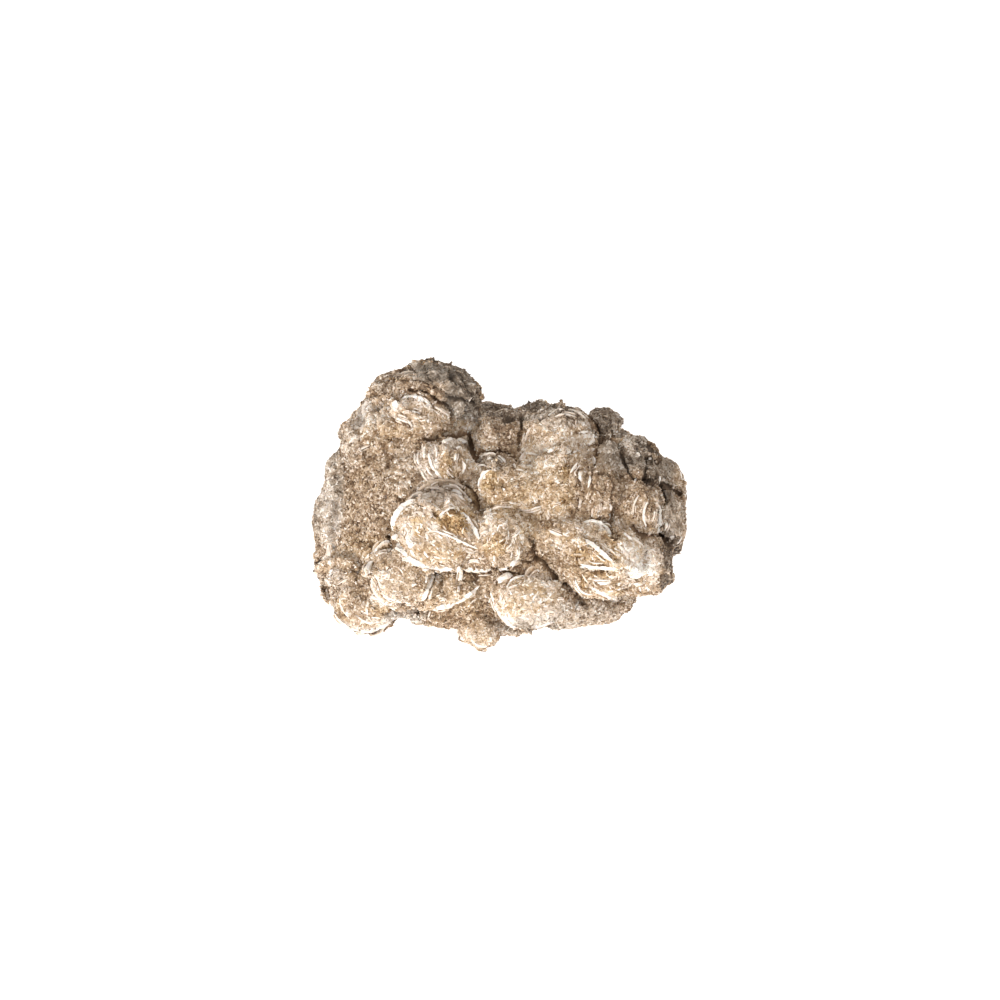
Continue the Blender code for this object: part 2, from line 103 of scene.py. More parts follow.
# Blades whose edge shows, by the rosette that they are part of: width and height of the edge,
# whiteness, then its points. Where the height is 0 the crust steps down along the line and has no
# blade there.
EDGES = {
    "great": (
        (1.25, 0.9, 1, (-19.5, 1.2), (-22.5, -0.5), (-24.6, -3.5), (-24.8, -6.5), (-23.6, -9.5),
         (-21.5, -12.3)),
        (1.1, 1, 1, (-21.8, -12), (-19.5, -13.6), (-16, -14.7), (-12, -15.2), (-8.5, -15.1)),
        (0.8, 0.9, 1, (-8.8, -15), (-5, -15.6), (-1, -15.2), (2.5, -14.6), (4.6, -13)),
        (0.85, 1.2, 1, (-9, -1.6), (-7.3, -3.6), (-5.7, -6), (-4.5, -8.2)),
        (0.45, 0.8, 1, (-15.3, -6.1), (-12.5, -7), (-9.5, -8.3), (-6.8, -9.6), (-4.8, -10.3)),
        (0.45, 0.6, 0.9, (-14.2, -3), (-13, -1.8), (-11.3, -0.8), (-9.3, -0.6)),
        (0.8, 0.9, 1, (-11.8, 3.1), (-10, 3.3), (-8.5, 2.3)),
        (0.5, 0.8, 1, (-8.7, 1.3), (-7.3, 1.8), (-6.2, 0.6)),
        (0.6, 0.6, 0.9, (-13.6, 2), (-12.5, 1.6), (-11.3, 1)),
        (0.5, 1, 0.85, (-13.5, 4.4), (-10.8, 4.5), (-8.6, 3.2), (-7, 1.4)),
        (0.5, 1, 0.95, (-11.2, 2.5), (-9.2, 1.7), (-7.6, 0.2), (-6.6, -1.4)),
        (0.45, 0.9, 0.8, (-17.2, 4.2), (-15, 4.2), (-12.6, 3.6)),
        (0.6, 1.2, 0.55, (-19, 3.2), (-15.5, 5.2), (-11.5, 5.6), (-9, 4.8)),
        (0.5, 0.9, 0.6, (-16.8, 2.8), (-14, 3), (-11, 2.2), (-9, 0.5), (-7, -0.8)),
        (0.5, 0.7, 0.8, (-22.3, 0.3), (-20, 2.2), (-17.8, 2.9)),
        (1.1, 0.4, 0.9, (-20.5, -5.5), (-21.5, -7.5), (-21.2, -9.5)),
        (0.8, 0.4, 0.85, (-18.5, -0.5), (-17, -1.5), (-15.2, -2.6)),
        (0.7, 0.4, 0.85, (-16.8, -6.3), (-16.7, -8.2)),
        (0.5, 0.4, 0.8, (-20.8, -2.2), (-19, -1.6), (-17.2, -2.5)),
        (0.5, 0.4, 0.9, (-14, -13.2), (-12.9, -13.6)),
        (0.4, 0.4, 0.85, (-7, -13.9), (-5.8, -13.2), (-4, -13.8)),
    ),
    "great_wing": (
        (1.3, 0.6, 0.85, (-3.2, -1.8), (-2.3, -3.4), (-1.9, -5)),
        (0.35, 0.5, 0.9, (0.2, -5), (1.3, -4.5), (2.2, -4.1)),
        (0.4, 0.5, 0.9, (3.3, -7.7), (4.5, -7), (5.5, -5.8)),
        (0.35, 0.5, 0.85, (-4.3, -7), (-3.2, -6.5), (-2, -6.2)),
        (0.4, 0.5, 0.8, (-1.5, -1.2), (0.5, -0.4), (2.5, -0.6), (3.8, -0.2)),
        (0.4, 0.5, 0.9, (5.2, -0.8), (7, -1.2), (9.5, -0.6), (10.5, -0.2)),
        (0.4, 0.5, 0.85, (5, -10.5), (5, -12), (3.8, -13.6)),
        (0.35, 0.4, 0.8, (0.3, -8.8), (1.4, -8)),
        (0.35, 0.4, 0.8, (1.8, -10.5), (2.8, -9.8), (3.4, -8.9)),
    ),
    "comb": (
        (0.6, 0.9, 0.95, (-16.6, 12.6), (-16, 10.6), (-15.2, 9), (-13.9, 7.2), (-13, 6)),
        (0.45, 0.7, 0.9, (-18.5, 13), (-19, 11.2), (-18.6, 9.4)),
        (0.4, 0.6, 0.9, (-18.3, 8.6), (-17.8, 7), (-16.6, 5.6)),
        (0.45, 0.7, 0.95, (-17.8, 14.3), (-17.2, 12.4), (-17.5, 10.8)),
        (0.35, 0.6, 0.9, (-17, 9.6), (-16.2, 7.8), (-15.4, 6.8)),
        (0.4, 0.7, 0.9, (-15.4, 14.4), (-14.5, 12.8), (-14.7, 11.2)),
        (0.9, 0.9, 0.9, (-13.2, 14.6), (-11.4, 15.5), (-9.2, 15.5), (-7.2, 14.5)),
        (0.35, 0.6, 0.95, (-10.1, 12.4), (-10.5, 10.4)),
        (0.45, 0.7, 1, (-8.5, 10.7), (-8.1, 9.4), (-8.7, 7.3)),
        (0.5, 0.6, 0.9, (-10.4, 13.3), (-8.6, 13.6), (-7.1, 13.4)),
        (0.4, 0.6, 0.9, (-13.6, 11.8), (-12.4, 12.8), (-12.6, 14)),
        (0.35, 0.5, 0.85, (-12.4, 8.6), (-11.4, 7.2), (-10.4, 6.6)),
        (0.4, 0.6, 0.8, (-16.5, 4.4), (-15, 5.3), (-13, 5.9)),
    ),
    "crown": (
        (1.1, 1.2, 1, (-25, 23.4), (-22.4, 25.1), (-19.8, 25.6), (-17.3, 24.4), (-15.5, 22.6)),
        (0.45, 0.7, 0.8, (-15.2, 23.5), (-13.4, 22.4), (-11.9, 21.3), (-11.3, 19.8)),
        (0.6, 0.6, 1, (-20.9, 22.3), (-19.7, 21.9), (-18.4, 21.6)),
        (0.5, 0.5, 0.9, (-24.8, 21), (-23, 20.2), (-21.2, 19.7)),
        (0.8, 0.6, 0.9, (-26, 23.6), (-25.6, 22), (-24.8, 21.2)),
        (0.35, 0.5, 0.8, (-17.6, 23.4), (-15.5, 22.5), (-13.6, 21.2)),
        (0.9, 0.6, 0.85, (-31.8, 21.3), (-31.9, 23), (-30.8, 24.8), (-29, 25.6)),
        (0.6, 0.5, 0.8, (-32.5, 17), (-32, 18.5), (-31.8, 20)),
        (0.4, 0.5, 0.8, (-21, 19.6), (-20.5, 18.5)),
        (0.35, 0.5, 0.8, (-35.5, 14.6), (-34, 16), (-32.7, 16.5)),
        (0.35, 0.5, 0.8, (-33.6, 12.6), (-32, 13.8), (-30.4, 14.3)),
    ),
    "knob": (
        (1, 0, 0.4, (-15.2, 35.2), (-15.4, 34), (-14.6, 32.9), (-12.3, 32.1), (-11.8, 30.4),
         (-11.3, 29.5)),
        (1, 0, 0.4, (-11.3, 29.6), (-9.4, 28.5), (-7.6, 27.2), (-6.6, 25.6), (-6.3, 24.4)),
        (0.8, 0, 0.4, (-10.6, 32), (-8.6, 30.2), (-6.8, 27.8)),
        (0.8, 0, 0.4, (-8.8, 32.8), (-6.6, 30.6), (-5.4, 28.2), (-4.9, 26.4)),
        (0.9, 0, 0.4, (-17.4, 33.6), (-16.4, 31.8), (-16, 30.2), (-14.6, 28.6), (-12.6, 27.4)),
        (0.7, 0, 0.4, (-24.8, 33), (-22.6, 33.2), (-20.6, 32.8), (-19.4, 31.8)),
        (0.4, 0.5, 0.6, (-23.4, 31.2), (-21.2, 31.6), (-19, 31.2)),
        (0.4, 0.5, 0.6, (-31.2, 27.3), (-29.8, 28.3), (-28, 28.6)),
    ),
    "ball": (
        (0.8, 0.9, 0.9, (-29.3, -11.6), (-28, -9.9), (-26.2, -8.8), (-24.9, -9), (-24, -9.8)),
        (0.8, 0.8, 1, (-26.6, -10.9), (-25, -10.4), (-23.4, -10.8), (-22.3, -11.2)),
        (0.4, 0.6, 0.8, (-28.9, -11.9), (-27.5, -11.5), (-26.4, -11.6)),
        (0.8, 0.7, 1, (-29.8, -13.2), (-31, -14.8), (-31, -16.5), (-30.1, -18)),
        (0.8, 0.6, 1, (-30.1, -18), (-29.6, -19.8), (-28.3, -21.8), (-25.8, -23.8), (-24.3, -25)),
        (0.4, 0.7, 0.95, (-17.4, -16.5), (-17, -17.5), (-17.4, -18.8)),
        (0.8, 0.9, 1, (-15.9, -15.2), (-15.7, -17.6), (-16.8, -20.4), (-18.6, -23)),
        (0.45, 0.7, 0.95, (-16.8, -19.6), (-16.9, -20.8), (-17.9, -22)),
        (0.35, 0.6, 0.9, (-15.6, -20), (-15.9, -21.3), (-16.3, -22.4)),
        (0.45, 0.6, 0.9, (-18.1, -15.1), (-17.2, -15.7), (-16.2, -15.3)),
        (0.5, 0.4, 0.85, (-29.3, -16.5), (-28.2, -18), (-27.8, -19.6)),
        (0.4, 0.4, 0.85, (-27.2, -17.6), (-26.3, -16.3)),
        (0.3, 0.4, 0.85, (-23.5, -15), (-22.5, -16.3)),
        (0.6, 0.4, 0.85, (-27.5, -21.3), (-25.5, -22.3), (-22.8, -23), (-20.5, -23.2)),
    ),
    "skirt": (
        (0.95, 1, 1, (-20.5, -24.3), (-17.5, -25.1), (-14.5, -24.6), (-11.5, -23.7), (-8.8, -22.5),
         (-6.3, -20.7), (-4.5, -19.2)),
        (0.4, 0.8, 1, (-9.1, -15.2), (-8.9, -16.8), (-9.4, -18.2)),
        (0.3, 0.6, 0.9, (-9.4, -19.2), (-9.6, -20.8)),
        (0.35, 0.5, 0.9, (-13.7, -22.8), (-13, -22.2), (-12.6, -23)),
        (0.4, 0.6, 0.9, (-14.8, -16.3), (-14.1, -17.5)),
        (0.35, 0.6, 0.9, (-15.9, -25.3), (-16.6, -27)), (0.5, 0.6, 0.8, (-19.4, -26), (-20, -26.9)),
    ),
    "foot": (
        (0.5, 0.6, 0.9, (-31, -22.4), (-29, -22.1), (-27, -23.5), (-24.6, -25)),
        (0.4, 0.5, 0.85, (-30.9, -22.7), (-31.2, -24.8), (-31, -26.3)),
        (0.7, 0.6, 0.85, (-40.8, -19.6), (-40.4, -22.2), (-39.2, -25.2), (-37.4, -27.8),
         (-35, -29.4)),
        (0.7, 0.6, 0.9, (-35, -29.4), (-31.5, -30.1), (-28.8, -29.4), (-26, -27.8), (-23.6, -26.4)),
        (0.4, 0.5, 0.85, (-33.5, -26.5), (-31, -28), (-28, -27.6)),
        (0.5, 0.5, 0.8, (-37.5, -22), (-37, -24.5), (-35.5, -26.5)),
        (0.35, 0.5, 0.8, (-38.4, -19.5), (-37, -18.2), (-35.6, -17.6)),
        (0.9, 0.5, 0.85, (-40.5, -9.5), (-39.9, -12), (-39.8, -14.5)),
    ),
    "spur": (
        (0.6, 0.6, 0.85, (-9.8, -30.2), (-8.5, -31.3), (-7.3, -33)),
        (0.5, 0.6, 0.9, (-6.3, -31.7), (-5, -33), (-3, -33.6), (-1.8, -33.2)),
        (0.4, 0.5, 0.85, (-2, -31.2), (-1.8, -32.6)),
    ),
    "bud": (
        (0.9, 0.8, 1, (0.2, -18.6), (1.2, -17.3), (3.5, -16.8)),
        (0.5, 0.8, 1, (2.2, -20), (2.9, -18.2), (4.8, -17.3), (6.7, -17)),
        (0.3, 0.7, 0.75, (7.2, -18), (8.2, -16.3), (9.6, -15.2)),
        (0.7, 0.7, 0.95, (-1.6, -20.4), (-1, -22.6), (-0.2, -24.6), (1.2, -26.9), (3.2, -28.6),
         (5.5, -29.4)),
        (0.6, 0.6, 0.9, (8, -29.2), (11, -28.4), (13.5, -27.6)),
        (0.35, 0.5, 0.9, (14, -22.4), (15.8, -22.4)),
        (0.4, 0.5, 0.85, (2.5, -19.9), (4, -19.2), (5, -19)),
        (0.5, 0.5, 0.9, (10.5, -22.8), (12, -22), (13, -22.6)),
        (0.4, 0.7, 0.95, (17.6, -25), (18.8, -23.6), (19.3, -22.6)),
        (0.35, 0.7, 0.9, (18.7, -25), (19.8, -23.6)),
    ),
    "fan": (
        (0.95, 1.1, 1, (20.6, -8.2), (22.6, -9.8), (25, -11.8), (27.4, -13.6)),
        (0.7, 0.9, 1, (19.7, -14), (22, -14.6), (25, -14.9), (29, -15.3)),
        (0.4, 0.8, 1, (18.4, -17.3), (19.4, -19.6), (21, -20.9), (22.8, -21.2)),
        (0.9, 0.9, 1, (21.8, -19.4), (24.5, -20.3), (26.5, -22), (28.6, -22.9), (30, -22.4)),
        (0.3, 0.6, 0.95, (22.3, -17.7), (24.8, -17.9), (27, -17.8)),
        (0.3, 0.6, 0.95, (23.5, -18.4), (26.8, -18.3)),
        (0.6, 0.9, 1, (20, -4.2), (22.5, -4.2), (25, -4.9), (26.5, -6.4), (27.2, -7.8)),
        (0.4, 0.6, 0.9, (12, -6), (13.5, -6.8), (15.3, -7.2)),
        (0.35, 0.6, 0.85, (15.5, -7.2), (17.2, -6.2)),
    ),
    "cheek": (
        (0.6, 0.8, 1, (29.8, -6.5), (30.8, -7.8), (32, -8.6)),
        (0.5, 0.7, 0.85, (31.2, -7.4), (33, -9), (34.8, -10.2)),
        (1.3, 0.5, 1, (31, -16), (33, -16.8), (35.5, -16)),
        (0.6, 0.6, 0.95, (31.8, -18.8), (33.4, -18.6), (34.8, -18.2)),
        (0.6, 0.5, 0.85, (28.5, -9.5), (30, -11.2), (31, -13)),
    ),
    "brow": (
        (0.8, 0.6, 1, (19.2, 17), (21, 17.2), (22.7, 17.8)),
        (0.6, 0.6, 1, (22.5, 16.8), (23, 16.2), (23.6, 15.8)),
        (0.45, 0.7, 0.8, (11.8, 21.2), (14, 22.6), (17, 22.6), (19.5, 21.6), (21.3, 20)),
        (0.4, 0.5, 0.8, (13.5, 21), (16, 21.6), (18.5, 20.9)),
        (0.5, 0.6, 0.85, (6.3, 12.5), (5.7, 11.2), (5.3, 10.2)),
        (0.45, 0.5, 0.85, (6.8, 12.3), (9, 11.8), (10.5, 11.7)),
        (0.6, 0.4, 0.95, (11.8, 12.6), (13.3, 13.1)), (0.6, 0.4, 0.95, (15.5, 12), (17.3, 12.8)),
        (0.6, 0.5, 0.9, (21.2, 14.5), (22.4, 15.2), (22.6, 16.2)),
        (0.35, 0.5, 0.8, (6.5, 15), (7, 17), (8, 18.5)),
    ),
    "heart": (
        (0.5, 0.9, 1, (-4.6, 3.6), (-4.1, 5.5), (-3.2, 7.2), (-1.8, 8.3)),
        (0.5, 0.6, 0.95, (-0.9, 10.2), (-0.3, 9.4), (0.5, 8.4)),
        (0.4, 0.6, 0.95, (-5.9, 9.2), (-4.9, 10.1), (-4, 10.9)),
        (0.4, 0.7, 0.85, (-3.6, 11.7), (-2, 12.2), (-0.4, 12)),
        (0.4, 0.6, 0.85, (-2.8, 10.7), (-1.3, 11), (0.1, 10.4)),
        (0.4, 0.6, 0.9, (0, 11.8), (1.2, 11), (1.8, 9.8)),
        (0.3, 0.5, 0.9, (-4.8, 9.2), (-3.6, 9.5), (-2.4, 9.1)),
        (0.4, 0.5, 0.85, (3.3, 10), (4.3, 8.8)), (0.6, 0.4, 0.95, (8.5, 1), (9.4, 1.4)),
        (0.6, 0.4, 0.95, (13.5, 5.6), (14.5, 5.9)),
        (0.4, 0.6, 0.9, (17.2, 7.5), (18, 9), (19, 10.2)),
    ),
    "post": (
        (0.35, 0.6, 0.95, (22.8, 11.5), (22.9, 10), (22.2, 8.6)),
        (0.35, 0.6, 0.95, (21.8, 7.2), (21.9, 5.5), (21.4, 4)),
        (0.5, 0.6, 0.9, (19.6, 8.3), (19.6, 6.8), (19.9, 5.4)),
        (0.35, 0.8, 1, (26.6, 0.3), (26.7, -1.5), (26.3, -3.7)),
        (0.4, 0.5, 0.7, (24.1, 0.5), (24.2, -1.5)), (0.8, 0.4, 0.8, (23, -0.5), (22.4, -3)),
        (0.5, 0.4, 0.8, (19.7, 1.5), (19.4, -0.8)),
    ),
    "drum": (
        (0.75, 0.8, 1, (38.2, 0.4), (38.4, -2.8), (38.3, -4.8), (37.8, -7)),
        (0.45, 0.6, 0.9, (35.9, 1.5), (34.8, -1), (34.7, -2.8), (35.3, -5.4)),
        (0.4, 0.6, 0.85, (33.6, 2.4), (32.4, 0.2), (32.2, -2)),
        (0.4, 0.6, 0.85, (37.3, -1.2), (36.9, -3.6)), (0.6, 0.7, 0.95, (40.2, -4), (39.3, -6.6)),
        (0.6, 0.5, 0.9, (40.8, -7.7), (42, -7.3)),
        (0.5, 0.6, 0.9, (42, -9.6), (43, -8.6), (43.7, -7.4)), (1, 0.5, 1, (38.2, 6), (39.4, 6.1)),
        (0.5, 0.5, 0.9, (35.9, 10.9), (36.6, 11)), (0.6, 0.5, 0.85, (33, 12.6), (33.6, 11.6)),
    ),
}

# Crevices: half width, depth, then points.
CREVICES = (
    (0.6, 1.3, (7.8, -7.5), (8.5, -10), (9.2, -12.4), (11, -13.5), (12.4, -15.5), (14, -17.2),
     (16.5, -18.6)),
    (0.5, 1, (6, -13.3), (8, -13.6), (9.4, -12.8)),
    (0.45, 0.9, (0.8, -16), (3, -16.1), (5.2, -16.4)), (0.45, 0.9, (11, -17.6), (14, -17.4)),
    (0.9, 2.2, (25.8, -4.6), (27, -6), (28.3, -7.8)), (0.6, 1.2, (19.6, -22.4), (20.4, -23.3)),
    (0.8, 1.8, (22, 20.4), (23.5, 18.4), (24.3, 15.8)),
    (0.5, 1.3, (24, 14.4), (25.2, 15.8), (27.6, 15.7), (28.9, 14.6), (29.6, 11.4), (30.8, 8.4),
     (32.2, 6.3)),
    (0.8, 1.6, (36, 15), (37.2, 13), (37.8, 10.8)), (0.45, 1, (32.2, 6.3), (34, 6.6), (35.2, 6.2)),
    (0.4, 0.8, (23.6, 13.8), (23.2, 11), (22.8, 9)),
    (0.4, 0.9, (24, 7.5), (26.5, 7.1), (27.6, 5), (27.4, 3), (27, 1)),
    (0.7, 1.6, (27.1, 1), (27.3, -1.5), (27.1, -3.6)),
    (0.5, 1.3, (35.6, 10.6), (35.3, 7.6), (35.2, 5.6)),
    (0.85, 2.1, (35.2, 6.2), (37.7, 5.3), (39.1, 2.8), (39.4, -0.7), (39.1, -4.2), (38.5, -7.1)),
    (0.6, 1.2, (32, -5.2), (33.6, -6.4), (36.4, -7), (38.2, -7.4), (40.4, -8.6), (42, -10.2)),
    (0.9, 1.8, (38.2, 5.4), (40.4, 4.6), (42.4, 3.6), (43.4, 1.6)),
    (0.5, 1.2, (38.1, 8), (38, 6.6)), (0.4, 1, (31.6, 16.2), (32, 18.4)),
    (0.5, 1.3, (-5, 12.3), (-3.2, 13), (0.8, 12.9), (3.6, 12), (4.8, 10.8)),
    (0.6, 1.2, (4.9, 13.2), (5.2, 16), (5.6, 19), (5.6, 20.6)), (0.7, 1.4, (1.4, 20), (3.4, 20.3)),
    (0.4, 1, (10, 20.3), (12.4, 21.6), (14, 23.2)),
    (0.5, 1.4, (-21.2, 27.4), (-18.6, 27.5), (-16.4, 26.5), (-14.8, 25.4)),
    (0.6, 1.3, (-14.6, 25), (-12, 23.8), (-11, 21.8), (-10.6, 19.2)),
    (0.5, 1.2, (-11.2, 25.6), (-8.4, 25.2), (-5.4, 24)),
    (0.6, 1.4, (-17.4, 16), (-14.6, 15.8), (-11.6, 16.5), (-9, 16.8), (-6.6, 16.2)),
    (1, 2.6, (-6.4, 16), (-6.2, 13.6), (-5.6, 11.8), (-4.9, 11.1)),
    (0.5, 1.2, (-8.6, 5.6), (-7.2, 4.6), (-5.6, 2.8), (-4.8, 1), (-4.5, -0.6)),
    (0.7, 1.8, (-26, -7.4), (-24.6, -8.8), (-23.2, -10.6)),
    (0.35, 0.6, (-14.9, -15.5), (-14.6, -17), (-15.4, -19.8), (-17, -22.6)),
    (0.4, 1, (-19.2, -24.9), (-19, -26.1)),
    (0.35, 0.8, (-25, 30.2), (-21.6, 29.8), (-18.4, 29.7), (-16.2, 28.9)),
    (0.35, 0.8, (-11.4, 31), (-10.6, 29.4), (-8.4, 28), (-7, 26.2)),
    (0.35, 0.7, (-9.6, 31), (-7.8, 29.2), (-6.4, 27)),
)

# Where the crust fills a hollow of the solid, or sinks if below 0: (across, up), half sizes and
# height.
LIFTS = (
    (33, -11.5, 6, 5.6, 1.5), (-30.2, 19.4, 1.8, 3.4, 1.1), (-4.6, 17.8, 4.2, 4.8, 1.7),
    (-36.6, -16.2, 5.4, 2.8, 2.6), (-16.6, -18.6, 2.4, 3.6, 1.6), (-24.6, -13.2, 4.6, 2.4, 1),
    (-38.6, 3.6, 1.4, 3, 1.2), (-40.6, -13, 3, 2.6, 1.6), (-41.4, -20, 2, 4, -1.2),
    (-33, -12, 5, 3, 1.2), (13, 3, 4, 4, 0.8), (-28.6, 16.6, 4, 4, 2), (-24, 18.6, 3, 2, 0.8),
    (-9.4, -17.6, 3.4, 3.4, 0.8),
)

# Rosettes of the show face: (across, up), half sizes, how waxy and smooth they are, the way their
# strokes run (degrees from across) and how many petals are tried in them.
ROSES = {
    "great": (-14.3, -6.3, 10.6, 9.3, 1, -32, 10),
    "great_wing": (0.6, -7.3, 6.4, 6.8, 0.85, 55, 9),
    "comb": (-12.6, 10, 6.2, 5.8, 0.6, 100, 10),
    "crown": (-19.4, 21.6, 8.4, 5.4, 0.65, -25, 10),
    "crown_wing": (-29.4, 21, 5, 5.8, 0.35, 60, 8),
    "knob": (-14, 29.6, 11, 6.6, 0.9, 165, 0),
    "ball": (-23.3, -17.8, 7.7, 7, 0.3, 30, 7),
    "foot": (-31.6, -24.6, 8, 5.6, 0.35, -30, 9),
    "skirt": (-11, -20, 7, 4.6, 0.1, 22, 6),
    "spur": (-4.2, -31, 4.6, 4, 0.5, 60, 6),
    "bud": (7.4, -22.6, 9, 6.8, 0.8, 25, 14),
    "fan": (23.6, -14.6, 8.6, 8.6, 0.9, -30, 12),
    "fan_wing": (17.6, -6, 8.4, 3.6, 1, -12, 8),
    "cheek": (34.3, -14, 6.6, 8, 0.7, -50, 14),
    "brow": (13.6, 15.6, 9.6, 8, 0.65, 60, 16),
    "heart": (3, 4.4, 9.4, 6.4, 0.55, 35, 10),
    "saddle": (13, 3, 7.4, 6.6, 0.6, 62, 10),
    "pillar": (25.8, 12.4, 3.6, 4, 0.4, 80, 3),
    "post": (24, 2.4, 4.6, 6.4, 0.4, 88, 7),
    "drum": (33.4, -0.8, 5.8, 6, 0.45, 95, 9),
    "rim_low": (41.2, -4.6, 3, 6.4, 0.6, 84, 6),
    "rim_high": (40.6, 7.2, 4, 5.8, 0.8, 122, 7),
    "ridge": (32.8, 13, 4.6, 4.6, 0.35, 150, 6),
    "horn": (25.4, 20.8, 4.2, 3.4, 0.4, 30, 5),
    "flank": (-40.6, -4, 4.4, 9, 0.25, 84, 9),
    "shoulder": (-34.4, 13.6, 4.6, 6, 0.2, 110, 7),
}

# Rosettes of the hidden sides: compass angle (0 is +X, 90 the back), height and radius.
SIDE_ROSES = (
    (62, 20, 8), (92, 12, 8), (118, 17, 8), (78, 28, 6.5), (145, 12, 7.5), (30, 11, 7),
    (-6, 8, 6.5), (-38, 7, 6), (176, 8, 6.8), (203, 7, 6.5), (246, 6, 6.2), (276, 6, 6.5),
    (306, 6, 6),
)
